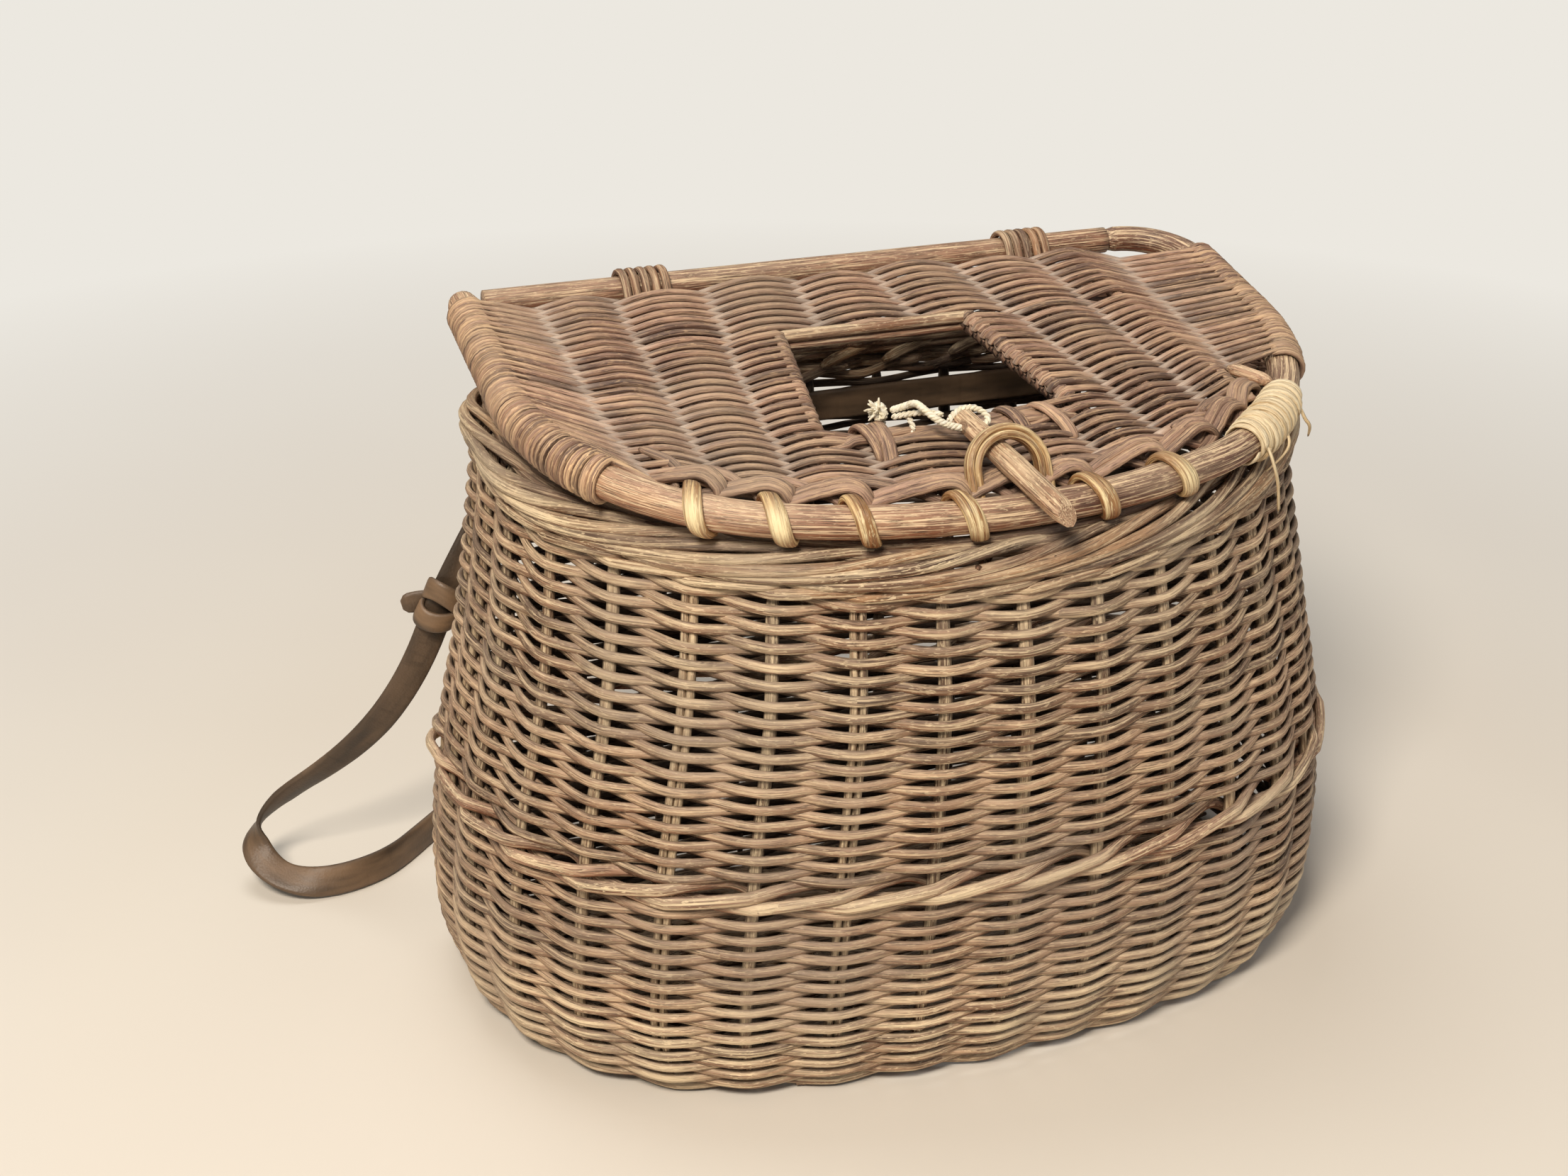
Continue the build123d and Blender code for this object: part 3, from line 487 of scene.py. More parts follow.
# a smooth value between stations, which never overshoots them
def settle(values, places, at):
    k = max(i for i in range(len(places) - 1) if places[i] <= at or i == 0)
    steps = [(values[i + 1] - values[i]) / (places[i + 1] - places[i]) for i in range(len(places) - 1)]

    def slope(i):
        if i in (0, len(places) - 1):
            return steps[min(i, len(steps) - 1)]
        if steps[i - 1] * steps[i] <= 0:
            return 0.0
        return 2 * steps[i - 1] * steps[i] / (steps[i - 1] + steps[i])

    run = places[k + 1] - places[k]
    t = (at - places[k]) / run
    return (
        (2 * t**3 - 3 * t**2 + 1) * values[k]
        + (t**3 - 2 * t**2 + t) * run * slope(k)
        + (3 * t**2 - 2 * t**3) * values[k + 1]
        + (t**3 - t**2) * run * slope(k + 1)
    )


# radius of the front arc, and the side arc's turn where they meet
def archParts(halfWidth, front, sideRadius):
    radius = ((halfWidth - sideRadius) ** 2 + front**2 - sideRadius**2) / (2 * (front - sideRadius))
    return radius, math.atan2(radius - front, halfWidth - sideRadius)


def arcLine(centre, radius, start, end, count):
    angle = np.linspace(start, end, count)
    return np.stack([centre[0] + radius * np.cos(angle), centre[1] + radius * np.sin(angle)], axis=1)


# a closed D, evenly sampled from the middle of its straight back round by the left
def outline(halfWidth, front, back, sideRadius, corner, samples):
    radius, turn = archParts(halfWidth, front, sideRadius)
    sideX = halfWidth - sideRadius
    half = np.concatenate([
        np.array([(0, back), (corner - halfWidth, back)]),
        arcLine((corner - halfWidth, back - corner), corner, quarter, 2 * quarter, 12),
        arcLine((-sideX, 0), sideRadius, 2 * quarter, 2 * quarter + turn, 40),
        arcLine((0, radius - front), radius, 2 * quarter + turn, 3 * quarter, 40),
    ])
    whole = np.concatenate([half, half[::-1] * (-1, 1)])
    keep = np.concatenate([[True], np.linalg.norm(np.diff(whole, axis=0), axis=1) > 1e-6])
    whole = whole[keep]
    length = lengthAlong(whole)
    at = np.linspace(0, length[-1], samples + 1)[:-1]
    return np.stack([np.interp(at, length, column) for column in whole.T], axis=1)


def wallTables(b, samples=1160, step=4.0):
    levels = np.arange(0, 236.1, step)
    heights = [s[0] for s in b["stations"]]
    places = []
    for z in levels:
        w, f, k, share = (settle([s[i] for s in b["stations"]], heights, z) for i in range(1, 5))
        places.append(outline(w, f, k, share * f, b["corner"], samples) + (0, b["waistY"]))
    places = np.array(places)
    run = np.roll(places, -1, axis=1) - np.roll(places, 1, axis=1)
    out = unit(np.stack([-run[..., 1], run[..., 0]], axis=-1))
    out *= np.sign(np.sum(out * (places - np.array([0, b["waistY"]])), axis=-1, keepdims=True))
    return levels, places, out


wallLevels, wallPlaces, wallOut = wallTables(basket)


# points and outward directions on the wall, at shares of the way round
def onWall(share, z, inset):
    share, z = np.broadcast_arrays(np.asarray(share, float) % 1.0, np.asarray(z, float))
    samples = wallPlaces.shape[1]
    across = share * samples
    k = np.floor(across).astype(int)
    s = (across - k)[:, None]
    level = np.clip(z / (wallLevels[1] - wallLevels[0]), 0, len(wallLevels) - 1.001)
    j = np.floor(level).astype(int)
    t = (level - j)[:, None]

    def read(table):
        low = table[j, k % samples] * (1 - s) + table[j, (k + 1) % samples] * s
        high = table[j + 1, k % samples] * (1 - s) + table[j + 1, (k + 1) % samples] * s
        return low * (1 - t) + high * t

    out = unit(read(wallOut))
    flat = read(wallPlaces) - out * np.broadcast_to(inset, share.shape)[:, None]
    return np.column_stack([flat, z]), np.column_stack([out, np.zeros(len(z))])


# height of the border's top, or that much below it
def rimHeight(y, drop=0.0):
    slope = math.radians(basket["rimSlope"])
    return basket["rimZ"] + (y - basket["rimY"]) * math.tan(slope) - drop / math.cos(slope)


# most round the foot, and at the front
def bellyWear(points):
    low, high = (share * np.exp(-(((points[:, 2] - z) / reach) ** 2)) for z, reach, share in basket["rubbed"])
    front = np.clip((60 - points[:, 1]) / 120, 0.3, 1)
    return np.clip(0.12 + (low + high) * front, 0, 1)


wall = {
    "lower_wall_weave": {
        "rows": 27, "bottom": 2.4, "top": lambda y: np.full(len(y), 87.4), "node": "lower_weave",
    },
    "upper_wall_weave": {
        "rows": 33, "bottom": 97.4, "top": lambda y: rimHeight(y, 14.6), "node": "upper_weave",
    },
}


# one weaver after another winds up the basket, in front of every other stake
def weaveWall(name, part):
    b = basket
    bundle = newBundle()
    total = part["rows"] * b["stakes"]
    start = 0.0
    while start < total - 4:
        end = min(total, start + rng.uniform(45, 150))  # a weaver's length, in stakes
        if total - end < 12:
            end = total
        u = np.arange(start, end, 0.1)
        share = u / b["stakes"]
        first, _ = onWall(share, 150.0, 0)
        z = part["bottom"] + (part["top"](first[:, 1]) - part["bottom"]) * (u / total)
        way = np.cos(math.pi * (u - 0.5))
        kinked = np.arcsin(way * 0.985) / 1.4
        behind = np.clip((first[:, 1] - 40) / 25, 0, 1)
        light = behind * np.clip((z - b["openFrom"]) / 25, 0, 1)
        swing = b["swing"] * (1 - b["calm"] * (behind - light))
        inset = b["stakeInset"] - swing * (0.5 * way + 0.5 * kinked) + ripple(len(u), 0.14)
        z = z + ripple(len(u), 0.2, 14) - 0.3 * np.clip(way, 0, 1)
        points, out = onWall(share, z, inset)
        wear = (0.25 + 0.75 * np.clip(way, 0, 1)) * bellyWear(points) * rng.uniform(0.6, 1.0)
        size = b["weaver"] * rng.uniform(0.93, 1.05) * (1 + b["full"] * behind - b["open"] * light)
        tone = rng.uniform(0.1, 0.9) + ripple(len(u), 0.12, 40)
        size = size + ripple(len(u), 0.1)
        # the weavers' inner sides are darkened as painted shade
        addStrand(bundle, points, out, size, b["weaverThick"], 8, tone=tone, wear=wear, innerShade=b["innerShade"])
        start = end - 0.6
    return makePiece(name, bundle, bodyCane, "basket", [part["node"]])


def makeStakes():
    b = basket
    bundle = newBundle()
    for k in range(b["stakes"]):
        share = (k + 0.5) / b["stakes"]
        first, _ = onWall([share], [200.0], 0)
        z = np.arange(9.5, rimHeight(first[0, 1], 8.0), 6.0)
        twin = k in b["twins"] or rng.uniform() < 0.06
        for side in (-1, 1) if twin else (0,):
            size = b["stakeWidth"] * (0.6 if twin else rng.uniform(0.92, 1.04))
            inset = b["stakeInset"] + ripple(len(z), 0.15, 4)
            points, out = onWall(np.full(len(z), share + side * 0.0018), z, inset)
            # the stakes' inner sides are darkened as painted shade
            addStrand(bundle, points, out, size, b["stakeThick"], 9, wear=0.5, innerShade=0.8)
    return makePiece("stakes", bundle, stakeWood, "basket", ["side_stakes"])


for name, part in wall.items():
    weaveWall(name, part)
makeStakes()
print("walls woven")

wales = {
    "three_rod_wale": {
        "height": lambda y: np.full(len(y), 92.3), "rod": 4.7, "climb": 3.9, "out": 4.4, "in": 3.6,
        "material": waleCane, "slot": "wale", "node": "lower_wale",
    },
    "top_wale_rods": {
        "height": lambda y: rimHeight(y, 12.4), "rod": 3.7, "climb": 1.9, "out": 4.2, "in": 3.4,
        "material": borderCane, "slot": "weave", "node": "top_wale",
    },
}


# three rods that take turns to go in front of two stakes and behind one
def makeWale(name, w):
    bundle = newBundle()
    stakes = basket["stakes"]
    for j in range(3):
        start = j * 1.0
        while start < stakes - 0.2 + j:
            end = min(stakes + j + 0.4, start + rng.uniform(9, 17))
            u = np.arange(start - 0.3, end + 0.3, 0.09)
            phase = ((u - 0.5 - j) / 3.0) % 1.0
            swing = np.clip(-1.35 * np.cos(2 * math.pi * phase) + 0.25, -0.8, 1.0)
            inset = basket["stakeInset"] - np.where(swing > 0, w["out"] * swing, w["in"] * swing)
            ends = np.where(phase >= 0.9, 1 - (phase - 0.9) * 10, -1 + (0.1 - phase) * 10)
            lift = np.where((phase > 0.1) & (phase < 0.9), (phase - 0.5) / 0.4, ends)
            lift = np.sin(lift * math.pi / 2)
            share = u / stakes
            first, _ = onWall(share, 150.0, 0)
            z = w["height"](first[:, 1]) + w["climb"] * lift + ripple(len(u), 0.2, 12)
            points, out = onWall(share, z, inset + ripple(len(u), 0.15, 12))
            wear = np.clip(swing, 0, 1) * np.clip(0.9 - lift * 0.6, 0, 1) * rng.uniform(0.6, 1.0)
            tone = rng.uniform(0.2, 0.8) + ripple(len(u), 0.1, 30)
            size = w["rod"] * rng.uniform(0.94, 1.05)
            addStrand(bundle, points, out, size, w["rod"] * 0.8, 10, tone=tone, wear=wear)
            start = end
    return makePiece(name, bundle, w["material"], "basket", [w["node"]])


for name, w in wales.items():
    makeWale(name, w)

border = {
    "rod": 4.6, "flat": 0.95,
    # way along in stakes, below the border's top, and inset from the wall's outside
    "course": (
        (-0.5, 9.0, 9.0), (-0.15, 10.6, 5.0), (0.3, 10.9, 1.4), (1.0, 9.4, -0.8),
        (1.8, 6.9, -1.4), (2.6, 4.2, -0.9), (3.2, 2.4, 1.2), (3.7, 1.6, 4.2),
        (4.2, 1.9, 7.4), (4.7, 4.2, 10.2), (5.0, 7.6, 11.0),
    ),
    "inner": ((7.4, 3.4, 5.0), (9.4, 0.4, 4.0)),  # inset, drop and size of the strands laid inside
}


# each stake's end turns down, runs slantwise over the next three, and goes inside
def makeBorder():
    stakes = basket["stakes"]
    bundle = newBundle()
    line = smooth(border["course"], 2)
    for k in range(stakes):
        jitter = rng.uniform(-0.12, 0.12)
        size = border["rod"] * rng.uniform(0.88, 1.04)
        stand = rng.uniform(-0.7, 0.5)  # some rods stand out more
        share = (k + 0.5 + line[:, 0] + jitter) / stakes
        first, _ = onWall(share, 206.0, line[:, 2])
        z = rimHeight(first[:, 1], line[:, 1] + ripple(len(line), 0.2, 8))
        points, out = onWall(share, z, line[:, 2] + stand + ripple(len(line), 0.25, 8))
        tilt = np.clip((line[:, 0] - 2.6) / 1.4, 0, 1)[:, None]
        out = unit(out * (1 - tilt) + np.array([0, 0, 1.0]) * (0.25 + tilt))
        keep = evenly(np.column_stack([points, out]), 2.6)
        wear = np.clip(rng.uniform(0.2, 0.9) + ripple(len(keep), 0.3, 8), 0, 1)
        tone = rng.uniform(0.05, 0.95) + ripple(len(keep), 0.12, 10)
        addStrand(
            bundle, keep[:, :3], unit(keep[:, 3:]), size, size * border["flat"], 9, wear=wear, tone=tone
        )
    share = np.linspace(0, 1, 420)
    first, _ = onWall(share, 206.0, 6.0)
    for inset, drop, size in border["inner"]:
        points, out = onWall(share, rimHeight(first[:, 1], drop), inset)
        addStrand(bundle, points, out, size, size, 8, tone=0.3)
    return makePiece("plaited_border", bundle, borderCane, "basket", ["top_border"])


makeBorder()

nails = {
    "x": (-18.0, 9.0), "drop": 4.25,
    "steps": (0.9, 0.2, -0.35, -0.75, -0.95),  # a low dome: depths, and the size at each
    "sizes": (2.9, 3.2, 3.0, 2.0, 0.8),
}


def makeNails():
    bundle = newBundle()
    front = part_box("border_nails")[0][1] / mm
    steps = np.column_stack([np.zeros(5), nails["steps"], np.zeros(5)])
    for x in nails["x"]:
        y = front if x > 0 else front + 0.4
        centre = np.array([x, y + 1.1, rimHeight(y, nails["drop"])])
        addStrand(bundle, centre + steps, (0, 0, 1), nails["sizes"], nails["sizes"], 16, rounded=False)
    return makePiece("nail_heads", bundle, rustedSteel, "basket", ["border_nails"])


makeNails()
print("wales and border made")

base = {
    "sticks": 7, "apart": 38.0, "z": 4.6, "stick": (5.0, 4.6),
    "pitch": 3.15, "weaver": (3.3, 3.2),
    "arch": 2.6,  # how far a weaver goes over and under a stick
}


# sticks from front to back, with weavers over and under them
def makeBase():
    sticks, weave = newBundle(), newBundle()
    first = -3 * base["apart"]
    edge, _ = onWall(np.linspace(0, 1, 800)[:-1], 4.0, 7.0)
    for k in range(base["sticks"]):
        x = first + k * base["apart"]
        near = edge[np.abs(edge[:, 0] - x) < 2.5]
        y = np.arange(near[:, 1].min() + 1, near[:, 1].max() - 1, 8.0)
        points = np.column_stack([np.full(len(y), x) + ripple(len(y), 0.4, 4), y, np.full(len(y), base["z"])])
        addStrand(sticks, points, (0, 0, 1), *base["stick"], 8, wear=0.3)
    makePiece("base_cross_sticks", sticks, stakeWood, "basket", ["base_sticks"])
    for row, y in enumerate(np.arange(edge[:, 1].min() + 3.5, edge[:, 1].max() - 1, base["pitch"])):
        near = edge[np.abs(edge[:, 1] - y) < 3.5]
        if len(near) < 2:
            continue
        x = np.arange(near[:, 0].min() + 1.0, near[:, 0].max() - 1.0, 3.4)
        way = np.cos(math.pi * ((x - first) / base["apart"] + row))
        z = base["z"] + base["arch"] * np.sin(1.25 * way) / math.sin(1.25)
        points = np.column_stack([x, y + ripple(len(x), 0.25), z])
        addStrand(weave, points, (0, 0, 1), *base["weaver"], 7, wear=0.2 * np.clip(-way, 0, 1))
    return makePiece("base_weavers", weave, bodyCane, "basket", ["base_weave"])


makeBase()
print("base woven")

# the lid has its own coordinates: x to the right, v forward from the hinge, h above its middle
lid = {
    "hingeY": 95.7, "hingeZ": 249.4, "slope": 8.9,
    "halfWidth": 144.0, "front": 106.0, "back": 70.6, "sideShare": 0.93, "corner": 25.0,
    "rod": 11.6, "bar": 10.0, "barEnds": (-136.5, 118.0),
    "rows": 54, "strand": 2.95, "ribSize": 4.4,
    "swing": 3.2,  # how far a strand goes over and under a stick
    "holeBack": 53.5, "holeFront": 121.0, "ribSpan": 161.0,
    "brokenRib": ((113.5, 109.0, 2.0), (8.0, 16.5, 2.2)),  # start and run
    "brokenSize": (5.6, 5.2),
    # places on the rim rod, as shares of its length, where it swells at a knot
    "knots": (0.16, 0.31, 0.44, 0.585, 0.73, 0.9),
    # painted light and shade along the rod, pale at its left end and darker towards the right: places and
    # tones
    "rodLightAndShade": ((0.2, 0.42, 0.62, 0.85), (0.72, 0.5, -0.05, 0.05)),
}
lidSlope = math.radians(lid["slope"])
lidOrigin = np.array([0, lid["hingeY"], lid["hingeZ"]])
lidOut = np.array([0, -math.sin(lidSlope), math.cos(lidSlope)])
lidAhead = np.array([0, -math.cos(lidSlope), -math.sin(lidSlope)])


# directions in lid coordinates, in the frame's
def lidWay(x, v, h):
    return np.outer(x, [1.0, 0, 0]) + np.outer(v, lidAhead) + np.outer(h, lidOut)


def onLid(x, v, h):
    return lidOrigin + lidWay(*np.broadcast_arrays(x, v, h))


def lidRun(course):
    return smooth(onLid(*np.array(course).T), 2)


sideRadius = lid["sideShare"] * lid["front"]
frontRadius, sideTurn = archParts(lid["halfWidth"], lid["front"], sideRadius)
sideX = lid["halfWidth"] - sideRadius


# the rim rod's centreline: butt end at the left, round the front, and the bend at the right
def rodLine():
    w, back, corner = lid["halfWidth"], lid["back"], lid["corner"]
    left = arcLine((-sideX, back), sideRadius, 2 * quarter, 2 * quarter - sideTurn, 50)
    middle = (0, back + lid["front"] - frontRadius)
    frontArc = arcLine(middle, frontRadius, quarter + (quarter - sideTurn), sideTurn, 60)
    right = arcLine((sideX, back), sideRadius, sideTurn, 0, 50)
    bend = arcLine((w - corner, corner), corner, 0, -quarter, 16)
    return evenly(np.concatenate([[(-w, -5.0)], left, frontArc[1:], right[1:], bend]), 1.0)


rimLine = rodLine()  # x and v, a millimetre apart
rimLength = np.arange(len(rimLine)) * 1.0
rimAlong = wayAlong(rimLine)
rimAway = np.stack([-rimAlong[:, 1], rimAlong[:, 0]], axis=1)
rimAway *= np.sign(np.sum(rimAway * (rimLine - np.array([0, 80.0])), axis=1, keepdims=True))


# point and direction away from the lid's middle on the rim, at millimetres from its left end
def rimAt(place):
    place = np.clip(place, 0, len(rimLine) - 1)
    return [
        np.array([np.interp(place, rimLength, table[:, k]) for k in (0, 1)]) for table in (rimLine, rimAway)
    ]


# how far forward the front rod's centreline is at x
def frontV(x):
    x = np.abs(np.asarray(x, float))
    wide = lid["back"] + np.sqrt(np.maximum(sideRadius**2 - (x - sideX) ** 2, 0))
    centre = lid["back"] + lid["front"] - frontRadius
    near = centre + np.sqrt(frontRadius**2 - np.minimum(x, 200) ** 2)
    return np.where(x < sideX + sideRadius * math.cos(sideTurn), near, wide)


def makeRod():
    bundle = newBundle()
    line = rimLine[::3]
    points = onLid(line[:, 0], line[:, 1], 0.0)
    size = lid["rod"] + ripple(len(line), 0.16, 7)
    size -= (lid["rod"] - lid["bar"]) * np.clip((line[:, 0] > 80) * (30 - line[:, 1]) / 28, 0, 1)
    for knot in lid["knots"]:
        size += 0.5 * np.exp(-(((np.arange(len(line)) / len(line) - knot) / 0.006) ** 2))
    # the bend runs on into the back bar
    points = np.concatenate([points, onLid([117.0, 112.0], 0.0, 0.0)])
    size = np.concatenate([size, [lid["bar"] - 0.2, lid["bar"] - 1.0]])
    # painted light and shade: the rod darkens from its left end to its right
    tone = np.interp(np.linspace(0, 1, len(size)), *lid["rodLightAndShade"]) + ripple(len(size), 0.12, 11)
    addStrand(bundle, points, lidOut, size, size * 0.98, 20, tone=tone, wear=0.5)
    return makePiece("front_rim_rod", bundle, rodWood, "lid", ["lid_rim_rod"])


def makeBrokenRib():
    bundle = newBundle()
    start, run = lid["brokenRib"]
    points = onLid(*(a + b * np.linspace(0, 1, 9) for a, b in zip(start, run)))
    addStrand(bundle, points, lidOut, *lid["brokenSize"], 12, tone=0.9, wear=0.7)
    return makePiece("broken_rib_end", bundle, rodWood, "lid")


def makeBar():
    bundle = newBundle()
    x = np.arange(lid["barEnds"][0], lid["barEnds"][1] + 0.1, 4.0)
    size = lid["bar"] + ripple(len(x), 0.12, 6)
    tone = 0.4 + ripple(len(x), 0.1, 8)
    addStrand(bundle, onLid(x, 0.0, 0.0), lidOut, size, size, 18, tone=tone, wear=0.4, rounded=False)
    return makePiece("back_bar_rod", bundle, rodWood, "lid", ["lid_back_bar"])


makeRod()
makeBrokenRib()
makeBar()

# x at the back, x at the front, where each starts and ends in front of the hinge; 0 runs to the rod
ribs = {
    "left": ((-106.5, -103.5, 7.0, 0), (-72.5, -79.5, 16.5, 0), (-35.0, -57.0, 7.0, 0)),
    "middle": ((-3.0, -3.0, 7.0, 49.0), (-17.0, -19.0, 121.5, 0), (25.5, 28.0, 121.5, 0)),
    "right": ((28.0, 58.0, 7.0, 0), (63.0, 88.0, 7.0, 0), (96.0, 113.0, 7.0, 124.0)),
}


def ribX(rib, v):
    return rib[0] + (rib[1] - rib[0]) * (v - 7.0) / lid["ribSpan"]


def makeRibs():
    bundle = newBundle()
    for rib in ribs["left"] + ribs["middle"] + ribs["right"]:
        v = np.arange(rib[2], rib[3] or float(frontV(rib[1])) - 9.0, 5.0)
        size = lid["ribSize"] + ripple(len(v), 0.1, 4)
        addStrand(bundle, onLid(ribX(rib, v), v, 0.0), lidOut, size, size, 8, wear=0.3)
    return makePiece("lid_rib_rods", bundle, lidCane, "lid", ["lid_ribs"])


makeRibs()


# a turn round the rim rod in lid coordinates, from the panel side; over starts on top
def roundRim(place, over, radius=7.1):
    centre, away = rimAt(place)
    angle = np.linspace(math.radians(118), math.radians(118) - math.radians(250), 17)
    flat = centre + np.outer(np.cos(angle) * radius, away)
    return np.column_stack([flat, np.sin(angle) * radius * (1 if over else -1)])


# a turn round a stick that runs from front to back; side is the way that the strand comes from
def roundRib(x, v, side, over, radius=3.7):
    angle = np.linspace(math.radians(110), math.radians(-100), 9)
    rise = np.sin(angle) * radius * (1 if over else -1)
    return np.column_stack([x + side * radius * np.cos(angle), np.full(9, v), rise])


# how far forward a row is at x: straight at the back, bowed with the rim at the front
def rowV(share, x):
    centre = 8.0 + 145.0 * share
    end = np.where(x < 0, 10.0 + 118.0 * share, 14.0 + 108.0 * share)
    return centre + (end - centre) * np.clip(np.abs(x) / 132.0, 0, 1) ** 2.2


def rowAt(share, x):
    return float(rowV(share, np.array([x]))[0])


# one strand of the lid: over and under the sticks at its marks, with its ends turned
def laceRow(marks, share, row, first, last):
    lift = [lid["swing"] * (1 if (row + n) % 2 == 0 else -1) for _, n in marks]
    points = [first[::-1]]
    for (x0, _), (x1, _), s0, s1 in zip(marks, marks[1:], lift, lift[1:]):
        t = np.linspace(0, 1, max(4, int(abs(x1 - x0) / 2.6)) + 1)[:-1]
        x = x0 + (x1 - x0) * t
        points.append(np.column_stack([x, rowV(share, x), s0 + (s1 - s0) * ((1 - np.cos(math.pi * t)) / 2)]))
    x = marks[-1][0]
    return np.concatenate([*points, [[x, float(rowV(share, x)), lift[-1]]], last])


# the sticks that a row crosses on its way, in their order
def lidZone(v):
    middle = ()
    if v < lid["holeBack"] - 3.0:
        middle = ribs["middle"][:1]
    if v > lid["holeFront"]:
        middle = ribs["middle"][1:]
    return ribs["left"] + middle + ribs["right"]


# how near each point is to the rim rod, and the direction from the rod's centre to it
def rimNearness(line):
    flat = line[:, :2]
    k = np.linalg.norm(flat[:, None] - rimLine[None, ::4], axis=2).argmin(axis=1) * 4
    out = np.sum((flat - rimLine[k]) * rimAway[k], axis=1)
    away = lidWay(rimAway[k, 0] * out, rimAway[k, 1] * out, line[:, 2])
    reach = np.sqrt(out**2 + line[:, 2] ** 2)
    return np.clip((10.5 - reach) / 3.0, 0, 1), unit(away)


def lidRow(row, share):
    v = 8.0 + 145.0 * share
    marks = [(ribX(rib, rowAt(share, ribX(rib, v))), n) for n, rib in enumerate(lidZone(v))]

    def turnBack(mark, side):
        x, n = mark
        return roundRib(x, rowAt(share, x), side, (row + n) % 2 == 0)

    left = roundRim(13.0 + 107.0 * share + 16.0 * share**4, (row + 1) % 2 == 0)
    if share < 0.79:
        end = len(rimLine) - 1 - 39.3 - 14.0 - 112.0 * share + 14.0
        right = roundRim(end, (row + len(marks)) % 2 == 0)
        inner = marks
    else:
        right = turnBack(marks[-1], 1)
        inner = marks[:-1]
    if not lid["holeBack"] - 3.0 < v < lid["holeFront"] - 1.0:
        return [laceRow(inner, share, row, left, right)]
    (x0, n0), (x1, n1) = marks[2:4]
    return [
        laceRow(marks[:2] + [(x0 - 3.0, n0)], share, row, left, turnBack(marks[2], 1)),
        laceRow([(x1 + 3.0, n1)] + inner[4:], share, row, turnBack(marks[3], -1), right),
    ]


def makeLidWeave():
    bundle = newBundle()
    for row in range(lid["rows"]):
        share = row / (lid["rows"] - 1)
        pitch = (107.0 + 64.0 * share**3) / lid["rows"]
        for part in lidRow(row, share):
            line = evenly(smooth(part, 1), 2.3)
            points = onLid(line[:, 0], line[:, 1] + ripple(len(line), 0.18), line[:, 2])
            high = line[:, 2]
            size = lid["strand"] * rng.uniform(0.9, 1.08)
            near, away = rimNearness(line)
            atLeft = near * (line[:, 0] < 0)
            size = size * (1 - near * 0.16)
            size = size + (pitch * 1.04 - size) * atLeft
            outward = unit(lidOut * (1 - near)[:, None] + away * near[:, None])
            dust = np.clip(1 - np.abs(high) / 1.6, 0, 1) * 0.6 * (1 - near)
            wear = np.clip(high / lid["swing"], 0, 1) * 0.6 + near * 0.4 + atLeft * (share > 0.93)
            tone = rng.uniform(0.1, 0.9) + ripple(len(line), 0.1, 12)
            size = size + ripple(len(line), 0.08)
            addStrand(bundle, points, outward, size, size * 0.9, 8, tone=tone, wear=wear, dust=dust)
    nodes = ["lid_weave", "left_rim_sleeve", "right_rim_sleeve"]
    return makePiece("lid_weavers", bundle, lidCane, "lid", nodes)


makeLidWeave()
print("lid woven")

frontEdge = {
    "marks": (-121.0, -103.0, -80.0, -54.0, -19.0, 4.0, 28.0, 60.0, 86.0, 106.0, 119.0),
    "band": 4.3, "thick": 2.9,
    "filler": (4.0, 2.8), "closer": (3.4, 2.6),  # width and thickness
    "wraps": (-103.0, -80.0, -54.0, -19.0, 28.0, 60.0), "wrap": 6.6,
    "closing": (18.6, 21.2),  # rows that close the weave towards the edge, behind the rod's axis
}


# a strand near the front rod: x, distance behind the rod's axis, and h
def edgeStrand(bundle, course, width, thick, wear=0.6):
    line = evenly(smooth(course, 2), 1.6)
    k = [int(np.argmin(np.abs(rimLine[:, 0] - x) + 3 * (rimLine[:, 1] < 60))) for x in line[:, 0]]
    flat = rimLine[k] - rimAway[k] * line[:, 1][:, None]
    high = line[:, 2] + ripple(len(line), 0.12)
    tone = rng.uniform(0.25, 0.85) + ripple(len(line), 0.08)
    points = evenly(onLid(*flat.T, high), 1.7)
    count = len(points)
    worn = np.interp(np.linspace(0, 1, count), np.linspace(0, 1, len(line)), np.clip(line[:, 2] / 4, 0, 1))
    tone = np.resize(tone, count)
    addStrand(bundle, points, lidOut, width, thick, 10, tone=tone, wear=wear * worn, boxy=0.9)


